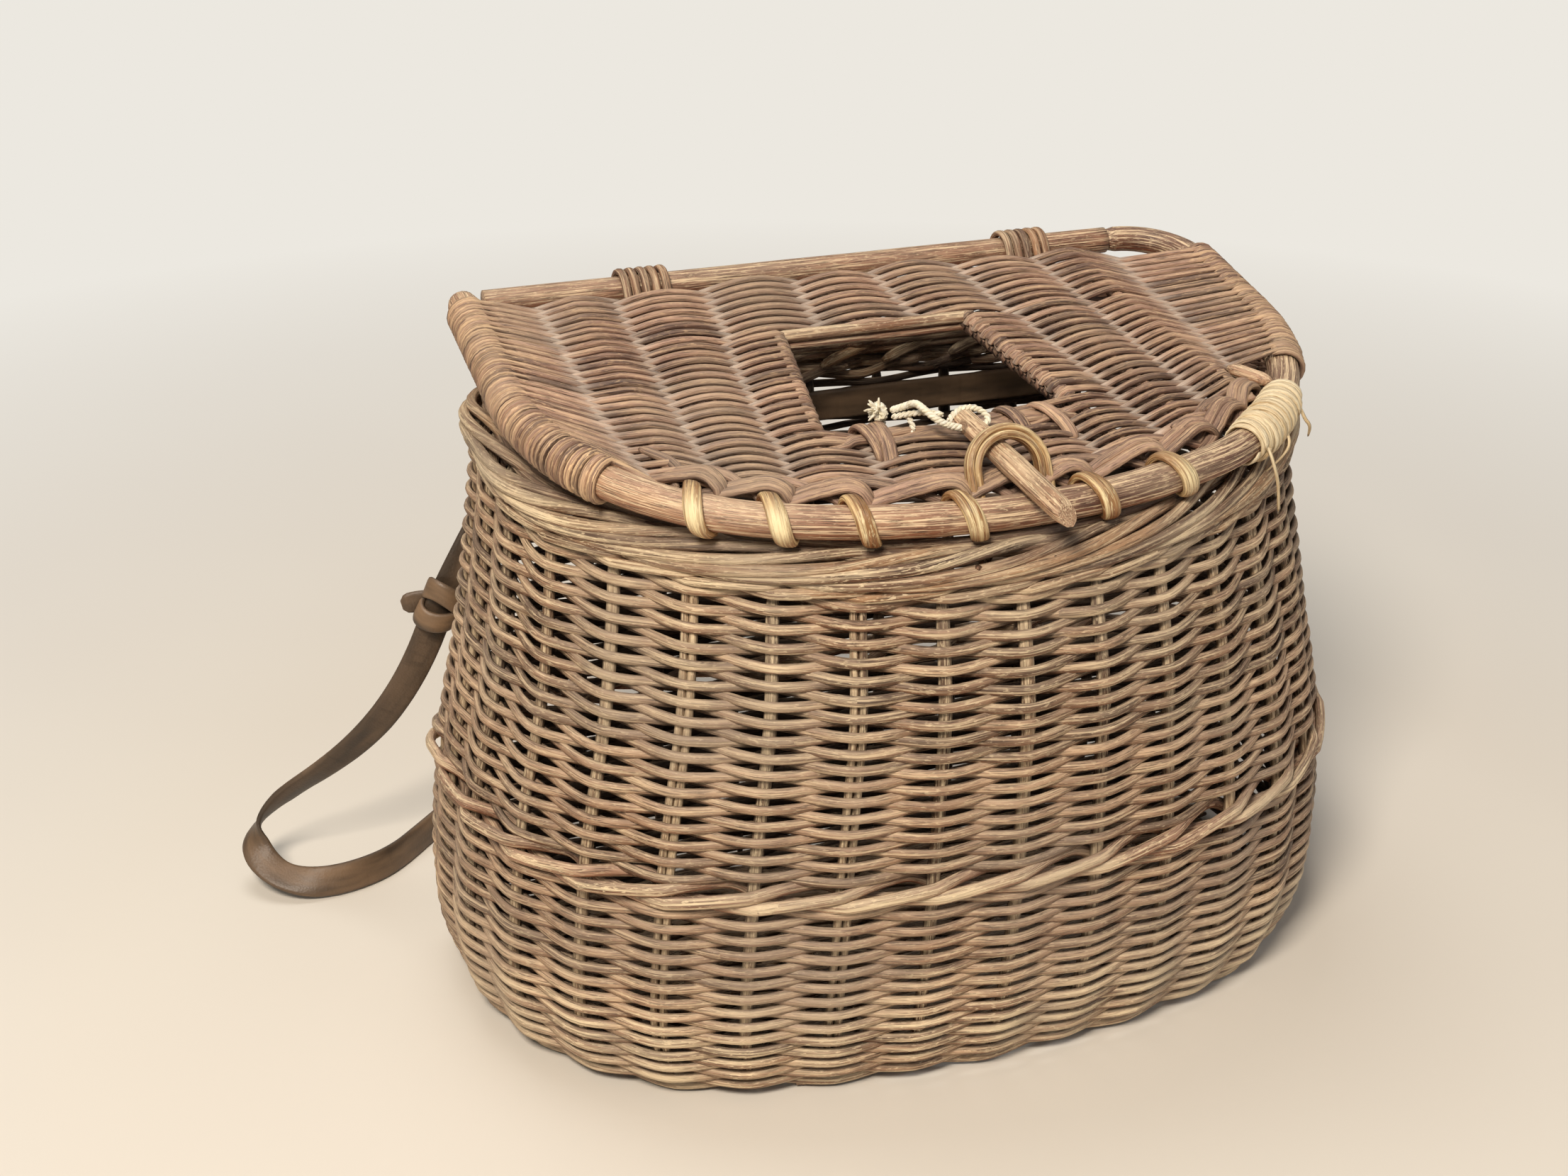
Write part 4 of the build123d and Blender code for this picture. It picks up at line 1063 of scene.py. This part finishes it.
# from each rib a pair sweeps right from beside the rod, over the next rib, and dives behind it
def makeFrontEdge():
    bundle = newBundle()
    marks = frontEdge["marks"]
    for left, right in zip(marks, marks[1:]):
        span = right - left
        for step in (0, 1):
            back = step * 3.9
            course = (
                (left - 5 + step, 8.5 + back, -3.0),
                (left + 2 + step, 9.2 + back, -0.6),
                (left + 0.35 * span, 10.4 + back, 2.2 + 0.3 * step),
                (left + 0.72 * span, 12.2 + back, 4.3 + 0.2 * step),
                (right - 1.5, 12.6 + back, 5.6),
                (right + 3.2 + step, 11.2 + back * 0.8, 4.6),
                (right + 5.6 + step, 9.6 + back * 0.7, 1.6),
                (right + 6.4 + step, 9.0 + back * 0.6, -2.4),
                (right + 4.0, 9.0 + back * 0.6, -4.4),
            )
            edgeStrand(bundle, course, frontEdge["band"] * rng.uniform(0.92, 1.08), frontEdge["thick"])
        # the one that goes the other way, from the weave down to the rod
        course = (
            (left - 6, 20.5, 2.6), (left + 4, 19.4, 3.4), (left + 0.4 * span, 17.4, 2.6),
            (left + 0.75 * span, 14.0, 0.6), (right - 1, 11.2, -1.8), (right + 5, 9.4, -4.4),
        )
        edgeStrand(bundle, course, *frontEdge["filler"], 0.4)
    for row, gap in enumerate(frontEdge["closing"]):
        x = np.arange(-119.0, 116.0, 2.4)
        phase = np.interp(x, marks, np.arange(len(marks)))
        back = np.full(len(x), gap) + ripple(len(x), 0.3, 7)
        course = np.column_stack([x, back, 2.7 * np.cos(math.pi * (phase + row))])
        edgeStrand(bundle, course, *frontEdge["closer"], 0.4)
    return makePiece("plaited_front_edge", bundle, lidCane, "lid", ["lid_front_edge"])


# each rib's end comes up behind the rod, goes over it and leans to the right on its way down
def makeRimWraps():
    bundle = newBundle()
    for x in frontEdge["wraps"]:
        centre = np.array([x, float(frontV(np.array([x]))[0])])
        k = int(np.argmin(np.linalg.norm(rimLine - centre, axis=1)))
        along, away = rimAlong[k], rimAway[k]
        degrees = np.linspace(222, -128, 44)
        angle = np.radians(degrees)
        radius = 6.9 + 0.9 * np.exp(-(((degrees - 128) / 30) ** 2))
        drift = np.interp(degrees, [-128, -60, 30, 140, 222], [7.0, 5.6, 2.0, -2.6, -3.6])
        out, rise = np.cos(angle) * radius, np.sin(angle) * radius
        flat = centre + np.outer(out, away) + np.outer(drift, along * np.sign(along[0]))
        outward = unit(lidWay(away[0] * out, away[1] * out, rise))
        width = frontEdge["wrap"] * rng.uniform(0.94, 1.06) * (0.9 + 0.1 * np.cos(angle - 0.3))
        wear = np.exp(-(((degrees - 22) / 42) ** 2)) * rng.uniform(0.75, 1.0) + 0.1
        tone = 0.5 - 0.3 * np.clip((degrees - 60) / 80, 0, 1) + 0.1 * np.clip(-degrees / 60, 0, 1)
        points = onLid(*flat.T, rise)
        addStrand(bundle, points, outward, width, 3.0, 16, tone=tone, wear=wear, boxy=0.82)
    return makePiece("rib_end_wraps", bundle, goldCane, "lid", ["rim_wraps"])


raffia = {
    # bearings of its start and end from the corner's centre, turns, and reach from the rod's middle
    "layers": ((37.0, 60.0, 17, 6.7), (59.0, 38.5, 13, 7.5), (42.0, 57.0, 7, 8.1)),
    "leaf": (2.9, 1.3),
    "fibres": ((58.0, 9.0, 26.0), (50.0, -6.0, 15.0), (40.0, 5.0, 11.0)),  # bearing, sway and fall
}


# bound over and over round the rod at the right front corner, with loose fibres at the ends
def makeRaffia():
    bundle = newBundle()
    for start, end, turns, reach in raffia["layers"]:
        angle = np.linspace(0, 2 * math.pi * turns, turns * 20)
        around = np.radians(start + (end - start) * angle / angle[-1] + ripple(len(angle), 0.5, 13))
        radius = reach + ripple(len(angle), 0.16, 11)
        out, rise = np.cos(angle) * radius, np.sin(angle) * radius
        x = sideX + (sideRadius + out) * np.cos(around)
        v = lid["back"] + (sideRadius + out) * np.sin(around)
        outward = unit(lidWay(out * np.cos(around), out * np.sin(around), rise))
        tone = 0.5 + ripple(len(angle), 0.25, 17)
        addStrand(bundle, onLid(x, v, rise), outward, *raffia["leaf"], 8, tone=tone, wear=0.7, boxy=0.8)
    for bearing, sway, fall in raffia["fibres"]:
        a = math.radians(bearing)
        x = sideX + (sideRadius + 7.4) * math.cos(a)
        v = lid["back"] + (sideRadius + 7.4) * math.sin(a)
        course = (
            (x, v, 1.0), (x + 1.5, v + 2.5, -3.0),
            (x + 2.0 + sway * 0.4, v + 3.0, -fall * 0.5), (x + sway, v + 1.5, -fall),
        )
        line = evenly(smooth(course, 2), 1.4)
        addStrand(bundle, onLid(*line.T), lidAhead, 1.3, 0.5, 6, tone=0.7)
    return makePiece("raffia_binding", bundle, raffiaLeaf, "lid", ["rim_wraps"])


makeFrontEdge()
makeRimWraps()
makeRaffia()

hole = {
    "frontStrands": ((122.6, 1.2), (126.6, 1.6), (124.6, -1.6)),  # v and h, under the wraps
    "frontSize": (4.4, 2.8),
    # a straight worn rod with a strand close under it: back, h, width, thickness, sides, tone, wear
    "backStrands": ((3.4, 1.2, 5.2, 4.6, 12, 0.6, 0.8), (2.9, -2.4, 4.2, 3.2, 10, 0.4, 0.0)),
    # x, reach, lean and size of rib ends turned over the front edge and tucked into the weave
    "wraps": (
        (-35.0, 15.0, 3.0, 5.2), (-28.5, 19.0, -1.5, 5.6), (1.5, 13.0, 3.5, 5.0),
        (18.0, 12.0, 4.5, 5.2), (30.5, 16.0, 7.0, 5.2),
    ),
}


def makeHoleEdges():
    wraps, edge = newBundle(), newBundle()
    for strand, (v0, h0) in enumerate(hole["frontStrands"]):
        x = np.arange(-49.0 + strand, 47.0, 1.8)
        bow = 2.2 * (1 - ((x + 2) / 48) ** 2)
        h = h0 + 0.9 * np.cos(math.pi * (x / 12.0 + strand)) + 0.8 * (np.abs(x) < 40)
        points = onLid(x, v0 + bow + ripple(len(x), 0.25), h)
        addStrand(wraps, points, lidOut, *hole["frontSize"], 10, wear=0.5, boxy=0.9)
    x = np.arange(-41.0, 40.0, 2.0)
    for back, h, width, thick, sides, tone, wear in hole["backStrands"]:
        points = onLid(x, lid["holeBack"] - back + ripple(len(x), 0.15), h)
        addStrand(edge, points, lidOut, width, thick, sides, tone=tone, wear=wear)
    makePiece("fish_hole_back_edge", edge, edgeCane, "lid")
    front = lid["holeFront"] - 0.6
    for x, reach, lean, size in hole["wraps"]:
        course = (
            (x - 0.4, front + 7, -5.0), (x - 0.4, front + 1, -4.6),
            (x - 0.3, front - 2.2, -1.2), (x, front - 1.2, 3.6),
            (x + lean * 0.3, front + 4, 5.6), (x + lean * 0.6, front + reach * 0.7, 5.4),
            (x + lean, front + reach, 2.4), (x + lean * 1.1, front + reach + 2.5, -1.0),
        )
        line = evenly(smooth(course, 2), 1.3)
        out = np.cross(np.array([1.0, 0, 0]), wayAlong(line))
        out *= np.sign(np.sum(out * (line - np.array([x, front + 4, 0])), axis=1, keepdims=True))
        addStrand(wraps, onLid(*line.T), unit(lidWay(*out.T)), size, 2.5, 12, wear=0.6, boxy=0.85)
    return makePiece("fish_hole_front_wraps", wraps, lidCane, "lid", ["hole_wraps"])


makeHoleEdges()
print("lid edges made")

lashing = {"places": (-77.0, 78.0), "turns": 4, "pitch": 3.9, "cane": (3.3, 2.2)}


# cane wound round the back bar and the border, on the basket: a belt round four circles
def makeLashings():
    bundle = newBundle()
    outer = basket["waistY"] + 60.0 + 2.0  # the border's back face at the rim
    inner = outer - 13.0
    circles = [  # y, z and radius
        (lid["hingeY"], lid["hingeZ"], 6.9),
        (inner + 2.6, rimHeight(inner) - 2.6, 4.3),
        (inner + 2.8, rimHeight(inner) - 7.2, 4.3),
        (outer - 2.2, rimHeight(outer) - 7.0, 4.3),
    ]
    leave = []
    for (y0, z0, r), (y1, z1, s) in zip(circles, circles[1:] + circles[:1]):
        run = math.hypot(y1 - y0, z1 - z0)
        leave.append(math.atan2(z1 - z0, y1 - y0) - math.acos((r - s) / run))
    loop = []
    for k, (y, z, r) in enumerate(circles):
        swing = (leave[k] - leave[k - 1]) % (2 * math.pi)
        for a in np.linspace(leave[k - 1], leave[k - 1] + swing, 10):
            loop.append((y + r * math.cos(a), z + r * math.sin(a), math.cos(a), math.sin(a)))
    loop = evenly(np.array(loop + loop[:1]), 1.6)
    for x in lashing["places"]:
        turns = np.concatenate([loop[:-1]] * lashing["turns"] + [loop[: len(loop) // 2]])
        rise = np.arange(len(turns)) / (len(loop) - 1) * lashing["pitch"]
        along = x - lashing["pitch"] * lashing["turns"] / 2 + rise + ripple(len(turns), 0.12, 12)
        points = np.column_stack([along, turns[:, :2]])
        out = unit(np.column_stack([np.zeros(len(turns)), turns[:, 2:]]))
        tone = 0.4 + ripple(len(turns), 0.15, 20)
        addStrand(bundle, points, out, *lashing["cane"], 9, wear=0.25, boxy=0.85, tone=tone)
    return makePiece("cane_hinge_lashings", bundle, edgeCane, "basket", ["hinge_lashings"])


makeLashings()

latch = {
    "x": 3.0, "foot": (-76.6, 206.0), "lean": 27.0,
    "width": 5.8, "band": 3.0, "leg": 27.8,
    "bands": ((13.8, 0.4), (11.3, -0.4)),  # radius and twist
}


# a doubled springy cane loop on the basket
def makeLoop():
    bundle = newBundle()
    lean, leg = math.radians(latch["lean"]), latch["leg"]
    up = np.array([0, math.sin(lean), math.cos(lean)])
    out = np.array([0, -math.cos(lean), math.sin(lean)])
    origin = np.array([latch["x"], *latch["foot"]])
    angle = np.radians(np.linspace(180, 0, 26))
    for radius, twist in latch["bands"]:
        arch = np.stack([radius * np.cos(angle), leg + radius * np.sin(angle)], axis=1)
        left = [(-radius - 0.4, -2.0), (-radius, leg * 0.5)]
        right = [(radius, leg * 0.5), (radius + 0.4, -2.0)]
        line = evenly(smooth(np.concatenate([left, arch, right]), 1), 1.3)
        points = origin + np.outer(line[:, 0], [1, 0, 0]) + np.outer(line[:, 1], up)
        points += np.outer(twist * np.sin(line[:, 1] / 9), out)
        centre = np.clip(line[:, 1], None, leg)
        away = unit(np.outer(line[:, 0], [1, 0, 0]) + np.outer(line[:, 1] - centre, up))
        worn = 0.25 + 0.6 * np.clip((line[:, 1] - leg) / radius, 0, 1)
        tone = 0.35 + ripple(len(line), 0.15, 7)
        width = latch["width"] + ripple(len(line), 0.15)
        addStrand(bundle, points, away, width, latch["band"], 12, wear=worn, boxy=0.8, tone=tone)
    return makePiece("cane_latch_loop", bundle, goldCane, "basket", ["latch_loop"])


makeLoop()

peg = {
    "back": (-2.0, 131.5), "front": (8.0, 200.5), "lift": 9.8,
    "width": 9.0, "height": 7.4, "flats": 9, "hole": 7.0, "drill": 3.8,
}


# split and whittled: flats along it, a drilled inner end and a slanted cut at the tip
def makePeg():
    bundle = newBundle()
    start = np.array(peg["back"])
    way = unit(np.array(peg["front"]) - start)
    length = np.linalg.norm(np.array(peg["front"]) - start)
    t = np.linspace(0, length, 50)
    size = 0.9 + 0.1 * np.sin(t / length * math.pi) ** 0.6 + ripple(len(t), 0.02, 5)
    size *= np.where(t > length - 4, 1 - 0.14 * ((t - length + 4) / 4) ** 2, 1.0)
    size[0] *= 0.86
    sides = peg["flats"]
    angle = np.arange(sides) * 2 * math.pi / sides + 0.25
    flats = 1 + rng.uniform(-0.07, 0.07, sides)
    across = np.array([-way[1], way[0]])
    rings = []
    for place, scale in zip(t, size):
        side = np.cos(angle) * flats * peg["width"] / 2 * scale
        rise = np.sin(angle) * flats * peg["height"] / 2 * scale
        # the tip is cut back at the top, and the inner end a little askew
        place = place - np.clip((place - length + 12) / 12, 0, 1) * (rise + 3.7) * 0.95
        place = place + np.clip((5 - place) / 5, 0, 1) * side * 0.25
        flat = start + np.outer(place, way) + np.outer(side, across)
        rings.append(onLid(*flat.T, peg["lift"] + rise))
    points = np.array([ring.mean(axis=0) for ring in rings])
    tone = 0.5 + ripple(len(t), 0.18, 7)
    addStrand(bundle, points, lidOut, 1.0, 1.0, sides, tone=tone, wear=0.6, rounded=False)
    bundle["verts"][-1] = np.concatenate(rings)
    around = np.column_stack([np.cos(angle) * 4.5, np.sin(angle) * 3.7])
    bundle["grain"][-1] = np.column_stack([np.repeat(t, sides), np.tile(around, (len(t), 1))])
    piece = makePiece("whittled_peg", bundle, pegWood, "toggle", ["toggle_peg"])
    piece.data.polygons.foreach_set("use_smooth", np.zeros(len(piece.data.polygons), bool))
    middle = onLid(*(start + way * peg["hole"]), peg["lift"])[0]
    drill = newBundle()
    sideways = unit(lidWay([across[0]], [across[1]], [0])[0] + 0.15 * lidOut)
    points = middle + np.outer(np.linspace(-9, 9, 4), sideways)
    addStrand(drill, points, lidOut, peg["drill"], peg["drill"], 14, rounded=False)
    cutter = makePiece("peg_drill", drill, pegWood, "toggle")
    cut = piece.modifiers.new("hole", "BOOLEAN")
    cut.operation, cut.solver, cut.object = "DIFFERENCE", "EXACT", cutter
    bpy.context.view_layer.update()
    finished = bpy.data.meshes.new_from_object(piece.evaluated_get(bpy.context.evaluated_depsgraph_get()))
    piece.modifiers.clear()
    piece.data = finished
    bpy.data.objects.remove(cutter)
    return piece


makePeg()
print("latch made")


# the smooth line of a cord's route: a spline with the points as its control points
def readSpline(name, points):
    data = bpy.data.curves.new(name, "CURVE")
    data.dimensions = "3D"
    data.resolution_u = 10
    spline = data.splines.new("NURBS")
    spline.points.add(len(points) - 1)
    for point, place in zip(spline.points, points):
        point.co = (*place, 1.0)
    spline.order_u = 3
    spline.use_endpoint_u = True
    holder = bpy.data.objects.new(name, data)
    bpy.context.collection.objects.link(holder)
    bpy.context.view_layer.update()
    mesh = bpy.data.meshes.new_from_object(holder)
    line = np.array([v.co[:] for v in mesh.vertices])
    bpy.data.objects.remove(holder)
    bpy.data.meshes.remove(mesh)
    return line


strap = {
    "width": 12.4, "thick": 2.5, "length": 0.80,
    "knotPlace": 5,  # the point of the route that the knot sits on
    "knotTurns": ((-3.6, 3.2, 0.0), (3.4, -3.0, 2.4)),  # offset along, lean and start
    "knotReach": (7.3, 5.0), "knotSize": (8.6, 2.6),
    "tail": ((0, 3, 0), (-4, 5.2, 2), (-9, 6, 5), (-13, 5.6, 8)), "tailSize": (9.0, 2.4),
    # the route in metres, the same points as the solid's
    "route": (
        (-0.107, 0.0874, 0.203), (-0.107, 0.096, 0.203), (-0.112, 0.1035, 0.196),
        (-0.128, 0.105, 0.177), (-0.1486, 0.101, 0.1446), (-0.1576, 0.1025, 0.1263),
        (-0.1675, 0.105, 0.1007), (-0.1797, 0.11, 0.0784), (-0.1925, 0.116, 0.0621),
        (-0.2062, 0.1215, 0.0497), (-0.2181, 0.127, 0.0401), (-0.227, 0.1302, 0.0316),
        (-0.233, 0.13, 0.025), (-0.2358, 0.126, 0.0194), (-0.2342, 0.1195, 0.014),
        (-0.2275, 0.112, 0.0086), (-0.2155, 0.1062, 0.0066), (-0.2, 0.1065, 0.0064),
        (-0.182, 0.1135, 0.0065), (-0.166, 0.129, 0.0064), (-0.149, 0.146, 0.0065),
        (-0.122, 0.158, 0.0064), (-0.084, 0.1605, 0.0064), (-0.038, 0.152, 0.0064),
        (0.012, 0.141, 0.0064), (0.058, 0.1375, 0.0065), (0.088, 0.1345, 0.012),
        (0.106, 0.126, 0.036), (0.1145, 0.115, 0.076), (0.1155, 0.1065, 0.122),
        (0.1125, 0.104, 0.161), (0.108, 0.105, 0.1905), (0.107, 0.097, 0.203),
        (0.107, 0.0874, 0.203),
    ),
    # which way its flat face looks, at shares of its length
    "faces": (
        (0.0, (-1, 0, 0)), (0.03, (-0.6, 0.8, 0)), (0.08, (0.3, 1, 0.2)), (0.2, (0.2, 1, 0.35)),
        (0.27, (0.0, 0.8, 0.75)), (0.31, (-0.5, 0.1, 1.0)), (0.345, (0.1, -0.9, 0.5)),
        (0.39, (0.1, -1, 0.15)), (0.5, (0.45, -1, 0.0)), (0.62, (0.2, -1, 0.0)), (0.76, (0.1, -1, 0.1)),
        (0.82, (0.2, -1, 0.0)), (0.95, (0.2, -1, 0.0)), (0.975, (0.8, -0.6, 0.0)), (1.0, (1, 0, 0)),
    ),
}


def makeStrap():
    line = readSpline("strap_line", strap["route"])
    length = lengthAlong(line)
    places = [p for p, _ in strap["faces"]]
    faces = np.stack(
        [np.interp(length / length[-1], places, [f[k] for _, f in strap["faces"]]) for k in range(3)], axis=1
    )
    along = wayAlong(line)
    faces = unit(faces - np.sum(faces * along, axis=1, keepdims=True) * along)
    bundle = newBundle()
    size = (strap["width"], strap["thick"])
    addStrand(bundle, line / mm, faces, *size, 14, boxy=0.5, tone=0.5, wear=0.5, rounded=False)
    piece = makePiece("leather_strap", bundle, strapLeather, "basket", ["strap_loop"])
    return piece, line, length[-1], faces


strapPiece, strapLine, strapLength, strapNormals = makeStrap()


# two flat turns of the strap pulled tight across it, and a short end that stands out
def makeStrapKnot():
    bundle = newBundle()
    centre = np.array(strap["route"][strap["knotPlace"]]) / mm
    k = int(np.argmin(np.linalg.norm(strapLine / mm - centre, axis=1)))
    centre = strapLine[k] / mm
    along = unit(strapLine[k + 3] - strapLine[k - 3])
    normal = strapNormals[k]
    side = np.cross(along, normal)
    wide, high = strap["knotReach"]
    for offset, lean, phase in strap["knotTurns"]:
        angle = np.linspace(phase, phase + 2 * math.pi + 0.5, 40)
        flat, rise = np.cos(angle) * wide, np.sin(angle) * high
        shift = offset + lean * np.sin(angle + 0.6)
        points = centre + np.outer(flat, side) + np.outer(rise, normal) + np.outer(shift, along)
        out = unit(np.outer(flat / wide, side) + np.outer(rise / high, normal))
        addStrand(bundle, points, out, *strap["knotSize"], 12, boxy=0.6, wear=0.8)
    line = evenly(smooth(strap["tail"], 2), 1.5)
    points = centre + np.outer(line[:, 0], side) + np.outer(line[:, 1], normal) + np.outer(line[:, 2], along)
    addStrand(bundle, points, normal, *strap["tailSize"], 12, boxy=0.6, wear=0.8)
    return makePiece("leather_knot", bundle, strapLeather, "basket", ["strap_knot"])


strapKnot = makeStrapKnot()


# the strap's run along the inside of the back wall, and its two ends out through the weave
def makeStrapInside():
    bundle = newBundle()
    low, high = (np.array(corner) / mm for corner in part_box("strap_inside"))
    y, reach, x, z = low[1] + 1.3, high[1], high[0] - 1.3, (low[2] + high[2]) / 2
    half = [(x, reach), (x, reach - 6), (x, y + 4), (x - 1, y + 1), (x - 4, y), (60, y)]
    course = [(-a, b, z) for a, b in half] + [(0, y + 0.2, z)] + [(a, b, z) for a, b in half[::-1]]
    line = evenly(smooth(course, 2), 3.0)
    out = np.cross(wayAlong(line), np.array([0, 0, 1.0]))
    addStrand(bundle, line, out, strap["width"], strap["thick"], 14, boxy=0.5, wear=0.4)
    return makePiece("leather_strap_inside", bundle, strapLeather, "basket", ["strap_inside"])


makeStrapInside()

string = {
    "length": 0.033,
    # routes in lid coordinates
    "route": (
        (-23.0, 119.4, 8.2), (-18.6, 121.2, 10.4), (-16.8, 124.8, 13.7), (-16.3, 130.2, 14.6),
        (-12.9, 135.6, 12.4), (-7.3, 136.85, 9.75), (-3.4, 138.4, 9.75),
    ),
    "knot": (-26.5, 117.5, 7.2),
    "knotTurns": ((0.0, 3.2), (0.9, 3.7), (1.9, 3.1), (2.6, 3.4)),  # tilt and size
    "frays": 34,
    "ends": (  # down round the edge strands, then a second strand beside the first
        (2.3, ((-25.5, 118.9, 6.0), (-24.5, 117.2, 2.0), (-24.0, 118.6, -3.6), (-23.0, 124.0, -4.6))),
        (2.3, ((-23.5, 121.8, 7.0), (-18.0, 123.4, 8.6), (-13.0, 126.4, 10.4), (-8.4, 130.4, 11.0))),
        (2.2, ((-18.5, 122.0, 8.0), (-16.8, 124.4, 5.4), (-17.2, 127.4, 3.0), (-18.4, 128.0, -0.5))),
    ),
    # through the peg from side to side and back round its inner end
    "pegLoop": (
        (-7.4, 137.4, 10.2), (-4.6, 138.4, 10.0), (-1.0, 138.6, 9.8), (4.2, 137.8, 9.8),
        (6.3, 135.6, 10.4), (5.5, 132.4, 11.6), (2.6, 130.2, 12.4), (-1.6, 129.7, 12.2),
        (-5.0, 130.8, 11.0), (-7.4, 133.4, 10.0),
    ),
}


# plies laid round one another along a line of points; size times share is their reach from it
def layPlies(bundle, line, tones, pitch, size, share, width, sides, aside):
    along = wayAlong(line)
    side = unit(np.cross(along, aside))
    up = np.cross(side, along)
    for k, tone in enumerate(tones):
        angle = lengthAlong(line) / pitch * 2 * math.pi + k * 2 * math.pi / len(tones)
        out, rise = (turn(angle)[:, None] * size * share for turn in (np.cos, np.sin))
        addStrand(bundle, line + side * out + up * rise, lidOut, width, width, sides, tone=tone)


def layTwoPly(bundle, line, size):
    layPlies(bundle, evenly(line, 0.6), (None, None), 3.4, size, 0.24, size * 0.58, 6, lidOut + 0.01)


def makeString():
    line = evenly(readSpline("string_line", onLid(*np.array(string["route"]).T) * mm) / mm, 0.5)
    bundle = newBundle()
    layPlies(bundle, line, (0.4, 0.6, 0.8), 4.2, 0.62, 1.0, 1.5, 8, lidOut)
    piece = makePiece("cotton_string", bundle, cottonString, "lid", ["toggle_string"])
    return piece, line * mm, lengthAlong(line)[-1] * mm


# the big knot at the fish hole's front edge with its frayed ends, and the doubled run to the peg
def makeStringKnot():
    bundle = newBundle()
    knot = onLid(*string["knot"])[0]
    angle = np.linspace(0, 2 * math.pi * 1.05, 30)
    for tilt, size in string["knotTurns"]:
        a = unit(np.array([math.cos(tilt), math.sin(tilt) * 0.6, 0.3]))
        b = unit(np.array([-0.2, 0.5, 0.9]))
        line = knot + size * 0.62 * (np.outer(np.cos(angle), a) + np.outer(np.sin(angle), b))
        layTwoPly(bundle, line, 2.5)
    for _ in range(string["frays"]):
        way = unit(np.array([-1.0 + rng.normal(0, 0.4), -0.3 + rng.normal(0, 0.6), 0.35 + rng.normal(0, 0.4)]))
        reach = rng.uniform(3.0, 5.6)
        course = knot + np.outer([0.6, reach * 0.6, reach], way) + np.outer([0, 0.4, 0.0], [0, 0, 1])
        addStrand(bundle, evenly(smooth(course, 2), 0.9), (0, 0, 1), 1.1, 1.0, 5)
    for size, course in string["ends"]:
        layTwoPly(bundle, lidRun(course), size)
    return makePiece("string_knot_ends", bundle, cottonString, "lid", ["string_knot"])


def makePegLoop():
    bundle = newBundle()
    layTwoPly(bundle, lidRun(string["pegLoop"]), 2.4)
    return makePiece("string_loop_on_peg", bundle, cottonString, "toggle")


stringPiece, stringLine, stringLength = makeString()
stringKnot = makeStringKnot()
makePegLoop()
tuple(onLid(*string["route"][0])[0] * mm)
print("cords made: strap", round(strapLength, 3), "string", round(stringLength, 4))

stage = {
    "half": 6.0, "near": ("#d8d0c4", "#ddd6ca"), "rough": 0.8,
    "paper": "#ece8e0", "paperReach": (0.32, 0.95),
    "sky": "#f4f1ec", "skyPower": 0.25,
    "lamps": (  # name, place, target, size, watts and colour
        ("key", (-0.75, -0.95, 1.45), (0, 0, 0.12), 0.5, 33.0, "#fff4e6"),
        ("fill", (1.2, -0.9, 0.8), (0, 0, 0.12), 1.2, 3.0, "#f4f6ff"),
        ("top", (-0.2, 0.5, 1.6), (0, 0, 0.2), 0.9, 8.0, "#ffffff"),
    ),
}


# pale painted board, matt: it only takes the object's shadow
def makeFloor(s):
    data = bpy.data.meshes.new("floor")
    corners = ((-1, -1), (1, -1), (1, 1), (-1, 1))
    data.from_pydata([(x * s["half"], y * s["half"], 0) for x, y in corners], [], [(0, 1, 2, 3)])
    material, tree = startMaterial("pale_floor")
    place = addNode(tree, "TexCoord", out=3)
    noise = addNode(tree, "TexNoise", {"Vector": place, "Scale": 3.0, "Detail": 2.0})
    colour = addNode(tree, "ValToRGB", [noise], ((0.3, s["near"][0]), (0.7, s["near"][1])))
    near = addNode(tree, "BsdfPrincipled", {"Base Color": colour, "Roughness": s["rough"]})
    # far from the basket the camera sees plain pale paper; near it the floor keeps its shadow
    reach = addNode(tree, "VectorMath", [place], out=1, operation="LENGTH")
    ramp = addNode(tree, "ValToRGB", [reach], ((s["paperReach"][0], 0.0), (s["paperReach"][1], 1.0)))
    far = addNode(tree, "Math", [ramp, addNode(tree, "LightPath")], operation="MULTIPLY")
    paper = addNode(tree, "Emission", {"Color": s["paper"], "Strength": 1.0})
    addNode(tree, "OutputMaterial", [addNode(tree, "MixShader", [far, near, paper])])
    data.materials.append(material)
    floor = bpy.data.objects.new("floor", data)
    bpy.context.collection.objects.link(floor)


# a soft sky for light, and plain paper for what the camera sees
def makeWorld(s):
    world = bpy.data.worlds.new("studio")
    bpy.context.scene.world = world
    world.use_nodes = True
    tree = world.node_tree
    tree.nodes.clear()
    soft = addNode(tree, "Background", {"Color": s["sky"], "Strength": s["skyPower"]})
    seen = addNode(tree, "Background", {"Color": s["paper"], "Strength": 1.0})
    addNode(tree, "OutputWorld", [addNode(tree, "MixShader", [addNode(tree, "LightPath"), soft, seen])])


def addLamp(name, place, target, size, power, colour):
    data = bpy.data.lights.new(name, "AREA")
    data.shape, data.size, data.energy = "DISK", size, power
    data.color = hexColour(colour)[:3]
    lamp = bpy.data.objects.new(name, data)
    bpy.context.collection.objects.link(lamp)
    back = unit(np.array(place, float) - np.array(target, float))
    right = unit(np.cross([0, 0, 1.0], back))
    axes = np.eye(4)
    axes[:3, 0], axes[:3, 1], axes[:3, 2], axes[:3, 3] = right, np.cross(back, right), back, place
    lamp.matrix_world = Matrix(axes.tolist())


makeFloor(stage)
makeWorld(stage)
for lamp in stage["lamps"]:
    addLamp(*lamp)
bpy.context.scene.view_settings.view_transform = "Standard"

bpy.context.view_layer.update()
